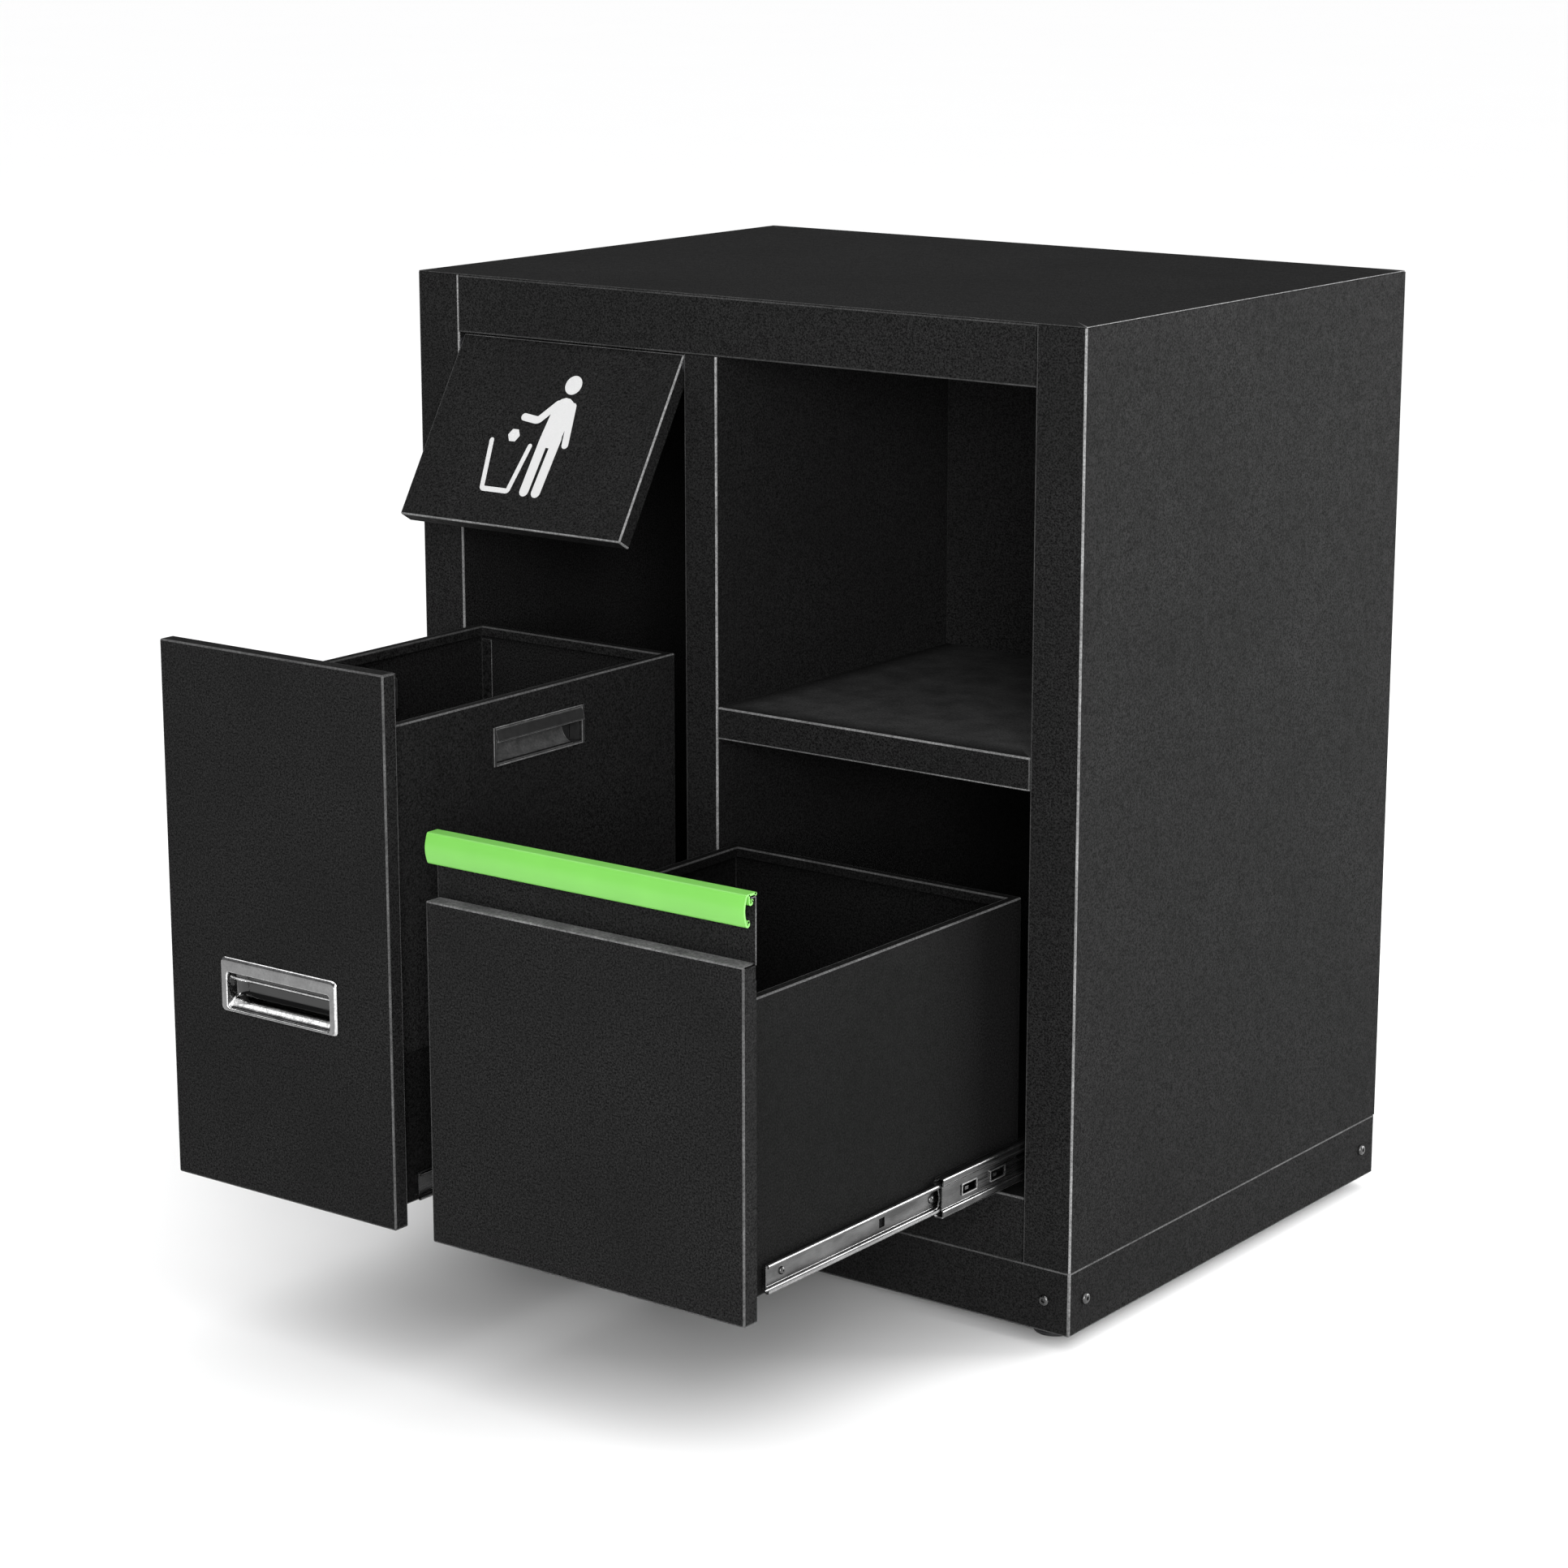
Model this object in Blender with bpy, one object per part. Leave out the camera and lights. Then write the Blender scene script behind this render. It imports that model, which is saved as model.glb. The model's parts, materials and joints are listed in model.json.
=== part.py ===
"""Two-stream waste cabinet in folded sheet steel, modelled as separate pieces in metres, +Z up.

The case holds a top-hung litter flap over a tall pull-out drawer with a lift-out bin, and an open
compartment over a wide paper drawer. Both drawers run on three-section ball-bearing slides and are
drawn with their fronts pulled out; the flap hangs open. The origin is on the floor, at the centre
of the whole outline: X runs along the front, -Y is the side the drawers open to.
"""

import math

import bmesh
import bpy
from mathutils import Vector

# ---- Driving dimensions ----
WIDTH = 0.750
DEPTH = 0.560
HEIGHT = 0.915
SHEET = 0.0010
CUP_SHEET = 0.0008  # the thinner sheet of the pressed pull and grips
GAP = 0.0003  # between pieces that rest on or touch each other
REVEAL = 0.003  # between an inset front and the frame around it

PLINTH_BOTTOM = 0.015
PLINTH_TOP = 0.075
POST = 0.050  # width of each front post
RAIL_TOP = 0.136  # cabinet floor, and the top of the front bottom rail
BEAM_BOTTOM = 0.860
DIVIDER_LEFT = -0.055
DIVIDER_RIGHT = -0.018
SHELF_TOP = 0.538
SHELF_FACE = 0.030
SHELF_DEPTH = 0.400
COMPARTMENT_DEPTH = 0.368

PULL_OUT = 0.405  # how far both drawers stand open
FLAP_OPEN = math.radians(31)
PULL_PROUD = 0.0022  # the chrome pull's rim, in front of its drawer's front
HEAD_HEIGHT = 0.0030
HEAD_PROUD = HEAD_HEIGHT + GAP  # a screw's head, off the plinth

BEAM_LIP = 0.020  # the beam's lower edge, turned back
PLINTH_LIP = 0.022
SHELF_LIP = 0.012
FRONT_LIP = 0.012  # the waste front's back edge, turned in
COMPARTMENT_FLANGE = 0.015
SKIN_SETBACK = 0.004  # a side's inner skin stops short of the back
BACK_INSET = 0.002  # the back panel's edges, inside the sides
RIM_SETBACK = 0.004  # a hole under a pressed rim is this much smaller all round

# ---- Places worked out from them ----
FACE_Y = (PULL_OUT + PULL_PROUD - DEPTH - HEAD_PROUD) / 2  # the cabinet's front face
BACK_Y = FACE_Y + DEPTH
DRAWER_Y = FACE_Y - PULL_OUT  # the pulled-out front faces
HALF = WIDTH / 2
LEFT_WALL = -HALF + POST  # inner skin of the left side
RIGHT_WALL = HALF - POST

# Inset fronts
FRONT_BOTTOM = RAIL_TOP + REVEAL
WASTE_X = (LEFT_WALL + REVEAL, DIVIDER_LEFT - REVEAL)
WASTE_TOP = 0.631
WASTE_FLANGE = 0.016
PAPER_X = (DIVIDER_RIGHT + REVEAL, RIGHT_WALL - REVEAL)
PAPER_LEDGE = 0.443
PAPER_FLANGE = 0.017
PAPER_PLATE_TOP = 0.4985
HEM_WIDTH = 0.010
HEM_DROP = 0.009

# Slides: three members in a 12.7 mm stack between a cabinet wall and a drawer side
SLIDE_STACK = 0.0127
SLIDE_Z = 0.169
SLIDE_SHEET = 0.0012
OUTER_LENGTH, MIDDLE_LENGTH, INNER_LENGTH = 0.450, 0.350, 0.392
OUTER_HALF, MIDDLE_HALF, INNER_HALF = 0.0222, 0.0176, 0.0124  # to the middle of the flanges
SLIDE_SETBACK = 0.0185  # inner and outer members start this far behind a drawer front, open or closed
OUTER_FLANGE_END, INNER_FLANGE_END = 0.0105, 0.0058  # across the stack, from the cabinet wall
MIDDLE_WEB, MIDDLE_FLANGE_END = 0.0032, 0.0118
MIDDLE_FRONT = -0.122  # front end of the middle members, from the cabinet's face

# Drawer boxes
BOX_BOTTOM = 0.154
BOX_LENGTH = 0.398
TRAY_TOP = 0.290
PAPER_BOX_TOP = 0.409
BIN_TOP = 0.581
BIN_CLEARANCE = 0.0025
GRIP_SIZE = (0.124, 0.036)
GRIP_TOP = BIN_TOP - 0.024
GRIP_DEPTH = 0.018

# Recessed pull in the waste drawer's front
PULL_SIZE = (0.139, 0.050)
PULL_CENTRE_Z = 0.328
PULL_DEPTH = 0.0135
PULL_LAP = 0.005  # its rim covers the edge of its hole by this much
PULL_MOUTH = 0.0072  # from its edge to its mouth

# Green profile on the paper drawer
PROFILE_HEIGHT = 0.027
PROFILE_WALL = 0.0020
PROFILE_TOP = PAPER_PLATE_TOP + SHEET + GAP + PROFILE_WALL

PROFILE_SETBACK = 0.0006  # its front, behind the drawer front's face
PROFILE_BOW = 0.0022
BOW_STEPS = 8
PLATE_LIP = 0.006  # the plate's head, turned forwards under the profile

# Flap
FLAP_HEIGHT = 0.186
FLAP_FLANGE = 0.015
FLAP_TOP = BEAM_BOTTOM - 0.004
PIVOT_DROP = FLAP_FLANGE / 2
PIVOT_Y = FACE_Y + FLAP_FLANGE / 2
PIVOT_Z = FLAP_TOP - PIVOT_DROP
PIN_RADIUS = 0.003
PIN_HEAD = (0.0025, 0.006)  # thickness and radius
PIN_LENGTH = 0.0125
BUSH_RADIUS = 0.0052
BUSH_FLANGE = (0.0012, 0.0075)  # thickness and radius
BUSH_LENGTH = 0.010
FLAP_BUFFER = (0.0115, 0.0092, 0.012)  # across, deep and high
FLAP_BUFFER_GAP = 0.0008  # behind the closed flap
FRONT_BUFFER_INSET = (0.007, 0.016)  # from the waste front's side and top edges

# Feet
FOOT_INSET = 0.042
PAD_RADIUS = 0.019
PAD_HEIGHT = 0.008
STUD_RADIUS = 0.004
GUSSET_SHEET = 0.0025
GUSSET_REACH = 0.022  # past the stud
BOSS_RADIUS, BOSS_HEIGHT = 0.008, 0.016
FOOT_SPOTS = {
    "front_left": (-HALF + FOOT_INSET, FACE_Y + FOOT_INSET),
    "front_right": (HALF - FOOT_INSET, FACE_Y + FOOT_INSET),
    "back_left": (-HALF + FOOT_INSET, BACK_Y - FOOT_INSET),
    "back_right": (HALF - FOOT_INSET, BACK_Y - FOOT_INSET),
}
SCREW_RADIUS = 0.003
SCREW_SHANK = 0.012
SCREW_PLAY = 0.0003
SCREW_HEAD = 0.0055
SCREW_INSET = 0.026  # from a plinth corner along the wall
SCREW_Z = (PLINTH_BOTTOM + PLINTH_TOP) / 2
ROUND_STEPS = 16
SHOULDER = 0.00001  # a step in a turned profile rises over this length


# ---- Materials ----
def material(name, colour, roughness, metallic=0.0):
    """A Principled BSDF with one colour, given as linear RGB."""
    made = bpy.data.materials.new(name)
    made.use_nodes = True
    shader = made.node_tree.nodes["Principled BSDF"]
    shader.inputs["Base Color"].default_value = (*colour, 1.0)
    shader.inputs["Roughness"].default_value = roughness
    shader.inputs["Metallic"].default_value = metallic
    return made


def make_materials():
    return {
        "black": material("black_powder_coat", (0.012, 0.012, 0.012), 0.6),
        "green": material("green_profile", (0.14, 0.62, 0.10), 0.35),
        "chrome": material("chrome", (0.75, 0.75, 0.75), 0.12, 1.0),
        "zinc": material("zinc_plate", (0.45, 0.46, 0.47), 0.3, 1.0),
        "rubber": material("rubber", (0.01, 0.01, 0.01), 0.8),
        "nylon": material("black_nylon", (0.015, 0.015, 0.015), 0.5),
    }


# ---- Building tools ----
def add_object(name, bm, finish, origin=(0, 0, 0)):
    """The bmesh, drawn in world coordinates, as an object whose origin is at the given point."""
    mesh = bpy.data.meshes.new(name)
    bmesh.ops.translate(bm, verts=bm.verts, vec=-Vector(origin))
    bm.to_mesh(mesh)
    bm.free()
    mesh.materials.append(finish)
    obj = bpy.data.objects.new(name, mesh)
    obj.location = origin
    bpy.context.scene.collection.objects.link(obj)
    return obj


def thicken(obj, thickness=SHEET, offset=-1.0):
    """Sheet metal: gives a surface its wall, inwards from the faces that the normals point out of."""
    wall = obj.modifiers.new("sheet", "SOLIDIFY")
    wall.thickness = thickness
    wall.offset = offset
    wall.use_even_offset = True
    wall.use_quality_normals = True
    return obj


def cut(obj, cutter):
    """Takes the cutter's shape out of the object, and hides the cutter."""
    hole = obj.modifiers.new("cut", "BOOLEAN")
    hole.operation = "DIFFERENCE"
    hole.object = cutter
    cutter.hide_render = True
    cutter.display_type = "WIRE"
    return obj


def rect_loop(axis, at, first, second):
    """Four corners of a rectangle square to an axis: the spans are along the two other axes in order."""
    corners = [
        (first[0], second[0]),
        (first[1], second[0]),
        (first[1], second[1]),
        (first[0], second[1]),
    ]
    place = {"X": lambda a, b: (at, a, b), "Y": lambda a, b: (a, at, b), "Z": lambda a, b: (a, b, at)}
    return [place[axis](a, b) for a, b in corners]


def inset(span, by):
    return (span[0] + by, span[1] - by)


def shell_from_loops(bm, loops, cap=True):
    """Skins consecutive closed loops into one surface, caps the first, and turns the faces outwards."""
    rings = [[bm.verts.new(point) for point in loop] for loop in loops]
    count = len(rings[0])
    faces = []
    for near, far in zip(rings, rings[1:]):
        for i in range(count):
            j = (i + 1) % count
            faces.append(bm.faces.new((near[i], near[j], far[j], far[i])))
    if cap:
        faces.append(bm.faces.new(rings[0][::-1]))
    bm.normal_update()
    centre = sum((v.co for ring in rings[:2] for v in ring), Vector()) / (2 * count)
    wall = faces[0]
    if wall.normal.dot(wall.calc_center_median() - centre) < 0:
        bmesh.ops.reverse_faces(bm, faces=faces)


def folded_box(name, loops, finish, cap=True, origin=(0, 0, 0), thickness=SHEET):
    bm = bmesh.new()
    shell_from_loops(bm, loops, cap)
    return thicken(add_object(name, bm, finish, origin), thickness)


def folded_strip(name, section, axis, span, finish, thickness=SHEET, offset=-1.0):
    """A sheet folded along straight lines: an open section carried from one end of a span to the other.

    The section lists points on the two other axes in order; the wall grows to its right-hand side.
    """
    bm = bmesh.new()
    place = {"X": lambda a, b, s: (s, a, b), "Y": lambda a, b, s: (a, s, b), "Z": lambda a, b, s: (a, b, s)}
    rows = [[bm.verts.new(place[axis](a, b, s)) for a, b in section] for s in span]
    for i in range(len(section) - 1):
        bm.faces.new((rows[0][i], rows[0][i + 1], rows[1][i + 1], rows[1][i]))
    return thicken(add_object(name, bm, finish), thickness, offset)


def solid_block(name, x, y, z, finish):
    bm = bmesh.new()
    shell_from_loops(bm, [rect_loop("Z", z[0], x, y), rect_loop("Z", z[1], x, y)])
    top = [e for e in bm.edges if e.is_boundary]
    bmesh.ops.holes_fill(bm, edges=top)
    bmesh.ops.recalc_face_normals(bm, faces=bm.faces)
    return add_object(name, bm, finish)


def cutter_block(name, x, y, z):
    return solid_block(name, x, y, z, bpy.data.materials[0])


def circle(radius, steps=ROUND_STEPS):
    return [
        (radius * math.cos(2 * math.pi * i / steps), radius * math.sin(2 * math.pi * i / steps))
        for i in range(steps)
    ]


def turned(name, profile, base, direction, finish, bore=0.0, steps=ROUND_STEPS):
    """A solid of revolution. The profile lists (distance along the axis, radius) outside a bore."""
    bm = bmesh.new()
    along = Vector(direction)
    side = along.orthogonal().normalized()
    up = along.cross(side)
    rings = []
    outline = list(profile)
    if bore:
        outline = [(profile[0][0], bore), *profile, (profile[-1][0], bore)]
    for distance, radius in outline:
        ring = [
            bm.verts.new(Vector(base) + along * distance + side * a + up * b)
            for a, b in circle(radius, steps)
        ]
        rings.append(ring)
    pairs = list(zip(rings, rings[1:]))
    if bore:
        pairs.append((rings[-1], rings[0]))
    for near, far in pairs:
        for i in range(steps):
            j = (i + 1) % steps
            bm.faces.new((near[i], near[j], far[j], far[i]))
    if not bore:
        bm.faces.new(rings[0])
        bm.faces.new(rings[-1])
    bmesh.ops.recalc_face_normals(bm, faces=bm.faces)
    obj = add_object(name, bm, finish, base)
    obj.data.shade_smooth()
    obj.data.set_sharp_from_angle(angle=math.radians(35))
    return obj


def round_hole(obj, name, base, direction, radius, length):
    """A drilled hole through a wall, centred on base."""
    start = Vector(base) - Vector(direction) * length / 2
    return cut(obj, turned(name, [(0, radius), (length, radius)], start, direction, bpy.data.materials[0]))


def bush_hole(obj, name, wall):
    """The hole in a wall that a flap bush sits in."""
    round_hole(obj, name, (wall, PIVOT_Y, PIVOT_Z), (1, 0, 0), BUSH_RADIUS + GAP, 0.012)


# ---- Case ----
def make_case(finish):
    """Double-skinned sides, top with its front beam, back, floor with its front rail, and the plinth."""
    roof_gap = HEIGHT - SHEET - GAP
    for side, sign in (("left", -1), ("right", 1)):
        outer, inner = sign * HALF, sign * (HALF - POST)
        section = [(outer, BACK_Y), (outer, FACE_Y), (inner, FACE_Y), (inner, BACK_Y - SKIN_SETBACK)]
        if sign > 0:
            section = section[::-1]
        panel = folded_strip(
            f"{side}_side_panel", section, "Z", (PLINTH_TOP + GAP, roof_gap), finish["black"]
        )
        if side == "left":
            bush_hole(panel, "left_bush_hole", inner)
    make_top(finish["black"])
    folded_strip(
        "back_panel",
        [(-HALF + BACK_INSET, BACK_Y), (HALF - BACK_INSET, BACK_Y)],
        "Z",
        (PLINTH_TOP + GAP, roof_gap),
        finish["black"],
        offset=1.0,
    )
    floor_back = BACK_Y - SHEET - GAP
    folded_strip(
        "floor_panel",
        [(floor_back, RAIL_TOP), (FACE_Y, RAIL_TOP), (FACE_Y, PLINTH_TOP + GAP)],
        "X",
        (LEFT_WALL + GAP, RIGHT_WALL - GAP),
        finish["black"],
    )


def make_top(finish):
    """The roof sheet, whose front folds down between the posts to make the beam."""
    bm = bmesh.new()
    columns = [-HALF, LEFT_WALL + GAP, RIGHT_WALL - GAP, HALF]
    front = [bm.verts.new((x, FACE_Y, HEIGHT)) for x in columns]
    back = [bm.verts.new((x, BACK_Y, HEIGHT)) for x in columns]
    for i in range(3):
        bm.faces.new((front[i], front[i + 1], back[i + 1], back[i]))
    low = [bm.verts.new((x, FACE_Y, BEAM_BOTTOM)) for x in columns[1:3]]
    lip = [bm.verts.new((x, FACE_Y + BEAM_LIP, BEAM_BOTTOM)) for x in columns[1:3]]
    bm.faces.new((low[0], low[1], front[2], front[1]))
    bm.faces.new((lip[0], lip[1], low[1], low[0]))
    thicken(add_object("top_panel", bm, finish))


def make_plinth(finish):
    """A ring of C section: the wall with a lip turned in at its foot and its head."""
    x, y = (-HALF, HALF), (FACE_Y, BACK_Y)
    loops = [
        rect_loop("Z", PLINTH_BOTTOM, inset(x, PLINTH_LIP), inset(y, PLINTH_LIP)),
        rect_loop("Z", PLINTH_BOTTOM, x, y),
        rect_loop("Z", PLINTH_TOP, x, y),
        rect_loop("Z", PLINTH_TOP, inset(x, PLINTH_LIP), inset(y, PLINTH_LIP)),
    ]
    bm = bmesh.new()
    rings = [[bm.verts.new(point) for point in loop] for loop in loops]
    for near, far in zip(rings, rings[1:]):
        for i in range(4):
            j = (i + 1) % 4
            bm.faces.new((near[i], near[j], far[j], far[i]))
    plinth = thicken(add_object("plinth", bm, finish["black"]))
    spots = {
        "front_left": (-HALF + SCREW_INSET, FACE_Y, (0, -1, 0)),
        "front_right": (HALF - SCREW_INSET, FACE_Y, (0, -1, 0)),
        "back_left": (-HALF + SCREW_INSET, BACK_Y, (0, 1, 0)),
        "back_right": (HALF - SCREW_INSET, BACK_Y, (0, 1, 0)),
        "left_front": (-HALF, FACE_Y + SCREW_INSET, (-1, 0, 0)),
        "left_back": (-HALF, BACK_Y - SCREW_INSET, (-1, 0, 0)),
        "right_front": (HALF, FACE_Y + SCREW_INSET, (1, 0, 0)),
        "right_back": (HALF, BACK_Y - SCREW_INSET, (1, 0, 0)),
    }
    for name, (sx, sy, out) in spots.items():
        base = (sx, sy, SCREW_Z)
        round_hole(plinth, f"screw_hole_{name}", base, out, SCREW_RADIUS + SCREW_PLAY, 0.008)
        make_screw(f"plinth_screw_{name}", base, out, finish["zinc"])


def make_screw(name, base, out, finish):
    """An M6 button head, drawn from the tip of its shank to the crown."""
    start = Vector(base) - Vector(out) * SCREW_SHANK
    foot = SCREW_SHANK + GAP  # of the head
    dome = [
        (foot + HEAD_HEIGHT * math.sin(a), SCREW_HEAD * math.cos(a * 0.72))
        for a in (0.0, 0.35, 0.75, 1.15, math.pi / 2)
    ]
    turned(name, [(0, SCREW_RADIUS), (foot, SCREW_RADIUS), *dome], start, out, finish, steps=12)


def make_feet(finish):
    """At each corner a gusset with a threaded boss, a stud, and the round pad that it stands on."""
    plate_z = PLINTH_BOTTOM + SHEET + GAP
    half = FOOT_INSET - SHEET - GAP  # from the stud out to the plinth's wall
    for name, (x, y) in FOOT_SPOTS.items():
        gusset_x = (x - half, x + GUSSET_REACH) if x < 0 else (x - GUSSET_REACH, x + half)
        gusset_y = (y - half, y + GUSSET_REACH) if "front" in name else (y - GUSSET_REACH, y + half)
        gusset_z = (plate_z, plate_z + GUSSET_SHEET)
        gusset = solid_block(f"foot_gusset_{name}", gusset_x, gusset_y, gusset_z, finish["black"])
        boss_base = (x, y, plate_z + GUSSET_SHEET / 2)
        boss_profile = [(0, BOSS_RADIUS), (BOSS_HEIGHT, BOSS_RADIUS)]
        boss = turned(f"boss_{name}", boss_profile, boss_base, (0, 0, 1), finish["black"])
        join = gusset.modifiers.new("boss", "BOOLEAN")
        join.operation = "UNION"
        join.object = boss
        boss.hide_render = True
        boss.display_type = "WIRE"
        bore = STUD_RADIUS + GAP
        round_hole(gusset, f"thread_{name}", (x, y, plate_z + BOSS_HEIGHT / 2), (0, 0, 1), bore, 0.040)
        pad = [
            (0, PAD_RADIUS - 0.001),
            (0.0015, PAD_RADIUS),
            (0.004, PAD_RADIUS),
            (0.0055, 0.0155),
            (PAD_HEIGHT, 0.008),
        ]
        turned(f"foot_pad_{name}", pad, (x, y, 0), (0, 0, 1), finish["nylon"])
        stud = [  # a hexagon's place at the foot, then the thread
            (0, 0.0062),
            (0.0045, 0.0062),
            (0.0046, STUD_RADIUS),
            (0.032, STUD_RADIUS),
            (0.033, STUD_RADIUS - 0.001),
        ]
        turned(f"foot_stud_{name}", stud, (x, y, PAD_HEIGHT + GAP), (0, 0, 1), finish["zinc"], steps=12)


# ---- Inner structure ----
def make_divider(finish):
    """The partition: a front face with two skins that run back, notched at the top for the beam."""
    y_back = BACK_Y - SHEET - GAP
    section = [
        (DIVIDER_LEFT, y_back),
        (DIVIDER_LEFT, FACE_Y),
        (DIVIDER_RIGHT, FACE_Y),
        (DIVIDER_RIGHT, y_back),
    ]
    divider = folded_strip("divider_panel", section, "Z", (RAIL_TOP + GAP, HEIGHT - SHEET - GAP), finish)
    notch = cutter_block(
        "divider_notch",
        (DIVIDER_LEFT - 0.010, DIVIDER_RIGHT + 0.010),
        (FACE_Y - 0.010, FACE_Y + 0.022),
        (BEAM_BOTTOM - GAP, HEIGHT + 0.010),
    )
    cut(divider, notch)
    bush_hole(divider, "divider_bush_hole", DIVIDER_LEFT)


def make_shelf(finish):
    """The shelf, folded down and in at its edges, and the sheet that closes the compartment's back."""
    x = (DIVIDER_RIGHT + GAP, RIGHT_WALL - GAP)
    y = (FACE_Y, FACE_Y + SHELF_DEPTH)
    loops = [
        rect_loop("Z", SHELF_TOP, x, y),
        rect_loop("Z", SHELF_TOP - SHELF_FACE, x, y),
        rect_loop("Z", SHELF_TOP - SHELF_FACE, inset(x, SHELF_LIP), inset(y, SHELF_LIP)),
    ]
    folded_box("shelf", loops, finish)
    back_y = FACE_Y + COMPARTMENT_DEPTH
    section = [
        (x[0], back_y + COMPARTMENT_FLANGE),
        (x[0], back_y),
        (x[1], back_y),
        (x[1], back_y + COMPARTMENT_FLANGE),
    ]
    folded_strip("compartment_back", section, "Z", (SHELF_TOP + GAP, HEIGHT - SHEET - GAP), finish)


# ---- Slides ----
def slide_member(name, wall_x, toward, web, flange_end, half, start, length, finish):
    """A channel: its web stands at a distance from the cabinet wall, its flanges end at another."""
    section = [
        (wall_x + toward * flange_end, half),
        (wall_x + toward * web, half),
        (wall_x + toward * web, -half),
        (wall_x + toward * flange_end, -half),
    ]
    section = [(x, SLIDE_Z + z) for x, z in section]
    return folded_strip(name, section, "Y", (start, start + length), finish, SLIDE_SHEET, 0.0)


def make_slides(prefix, left_wall, right_wall, finish):
    """Left and right slides of one drawer: outer, middle and inner members."""
    half_sheet = SLIDE_SHEET / 2
    for side, wall, toward in (("left", left_wall, 1), ("right", right_wall, -1)):
        slide_member(
            f"{prefix}_slide_outer_{side}", wall, toward, GAP + half_sheet, OUTER_FLANGE_END, OUTER_HALF,
            FACE_Y + SLIDE_SETBACK, OUTER_LENGTH, finish,
        )
        slide_member(
            f"{prefix}_slide_middle_{side}", wall, toward, MIDDLE_WEB, MIDDLE_FLANGE_END, MIDDLE_HALF,
            FACE_Y + MIDDLE_FRONT, MIDDLE_LENGTH, finish,
        )
        slide_member(
            f"{prefix}_slide_inner_{side}", wall, toward, SLIDE_STACK - half_sheet, INNER_FLANGE_END,
            INNER_HALF, DRAWER_Y + SLIDE_SETBACK, INNER_LENGTH, finish,
        )


# ---- Flap ----
def make_flap(finish):
    """A shallow pan on two pins near its top edge, turned about them from its closed place."""
    x = WASTE_X
    z = (FLAP_TOP - FLAP_HEIGHT, FLAP_TOP)
    pivot = (0, PIVOT_Y, PIVOT_Z)
    loops = [
        rect_loop("Y", FACE_Y, x, z),
        rect_loop("Y", FACE_Y + FLAP_FLANGE, x, z),
    ]
    flap = folded_box("flap_panel", loops, finish["black"], origin=pivot)
    flap.rotation_euler.x = -FLAP_OPEN
    for side, sign, edge, wall in (("left", -1, x[0], LEFT_WALL), ("right", 1, x[1], DIVIDER_LEFT)):
        round_hole(flap, f"flap_{side}_hole", (edge, PIVOT_Y, PIVOT_Z), (1, 0, 0), PIN_RADIUS + GAP, 0.010)
        head, head_radius = PIN_HEAD
        pin = [
            (0, head_radius),
            (head, head_radius),
            (head + SHOULDER, PIN_RADIUS),
            (head + PIN_LENGTH, PIN_RADIUS),
        ]
        start = (edge - sign * (SHEET + GAP + head), PIVOT_Y, PIVOT_Z)
        turned(f"flap_pin_{side}", pin, start, (sign, 0, 0), finish["zinc"], steps=12)
        rim, rim_radius = BUSH_FLANGE
        bush = [(0, rim_radius), (rim, rim_radius), (rim + SHOULDER, BUSH_RADIUS), (BUSH_LENGTH, BUSH_RADIUS)]
        start = (wall - sign * (rim + GAP), PIVOT_Y, PIVOT_Z)
        bore = PIN_RADIUS + GAP
        turned(f"flap_bush_{side}", bush, start, (sign, 0, 0), finish["nylon"], bore=bore, steps=12)
        make_flap_buffer(side, sign, wall, finish["rubber"])


def make_flap_buffer(side, sign, wall, finish):
    """A rubber block on the wall, behind the closed flap's lower corner."""
    across, deep, high = FLAP_BUFFER
    x = (wall - sign * across, wall - sign * GAP)
    y = FACE_Y + FLAP_FLANGE + FLAP_BUFFER_GAP
    z = FLAP_TOP - FLAP_HEIGHT + 0.004
    solid_block(f"flap_buffer_{side}", (min(x), max(x)), (y, y + deep), (z, z + high), finish)


# ---- Waste drawer ----
def make_waste_drawer(finish):
    """The tall front with its pull and buffers, and the low tray that the bin stands in."""
    x = WASTE_X
    z = (FRONT_BOTTOM, WASTE_TOP)
    loops = [
        rect_loop("Y", DRAWER_Y, x, z),
        rect_loop("Y", DRAWER_Y + WASTE_FLANGE, x, z),
        rect_loop("Y", DRAWER_Y + WASTE_FLANGE, inset(x, FRONT_LIP), inset(z, FRONT_LIP)),
    ]
    front = folded_box("waste_drawer_front", loops, finish["black"])
    centre_x = sum(x) / 2
    half_w, half_h = PULL_SIZE[0] / 2 - PULL_LAP, PULL_SIZE[1] / 2 - PULL_LAP
    hole = cutter_block(
        "pull_cutout",
        (centre_x - half_w, centre_x + half_w),
        (DRAWER_Y - 0.005, DRAWER_Y + 0.005),
        (PULL_CENTRE_Z - half_h, PULL_CENTRE_Z + half_h),
    )
    cut(front, hole)
    make_recessed_pull(centre_x, finish["chrome"])
    box_x = (LEFT_WALL + SLIDE_STACK + GAP, DIVIDER_LEFT - SLIDE_STACK - GAP)
    box_y = (DRAWER_Y + WASTE_FLANGE + GAP, DRAWER_Y + WASTE_FLANGE + BOX_LENGTH)
    loops = [rect_loop("Z", BOX_BOTTOM, box_x, box_y), rect_loop("Z", TRAY_TOP, box_x, box_y)]
    folded_box("waste_drawer_tray", loops, finish["black"])
    aside, below = FRONT_BUFFER_INSET
    for side, edge in (("left", x[0] + aside), ("right", x[1] - aside)):
        turned(
            f"front_buffer_{side}",
            [(0, 0.004), (0.004, 0.004), (0.005, 0.003)],
            (edge, DRAWER_Y + WASTE_FLANGE + GAP, WASTE_TOP - below),
            (0, 1, 0),
            finish["rubber"],
            steps=12,
        )
    make_bin(inset(box_x, SHEET + BIN_CLEARANCE), inset(box_y, SHEET + BIN_CLEARANCE), finish)


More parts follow.
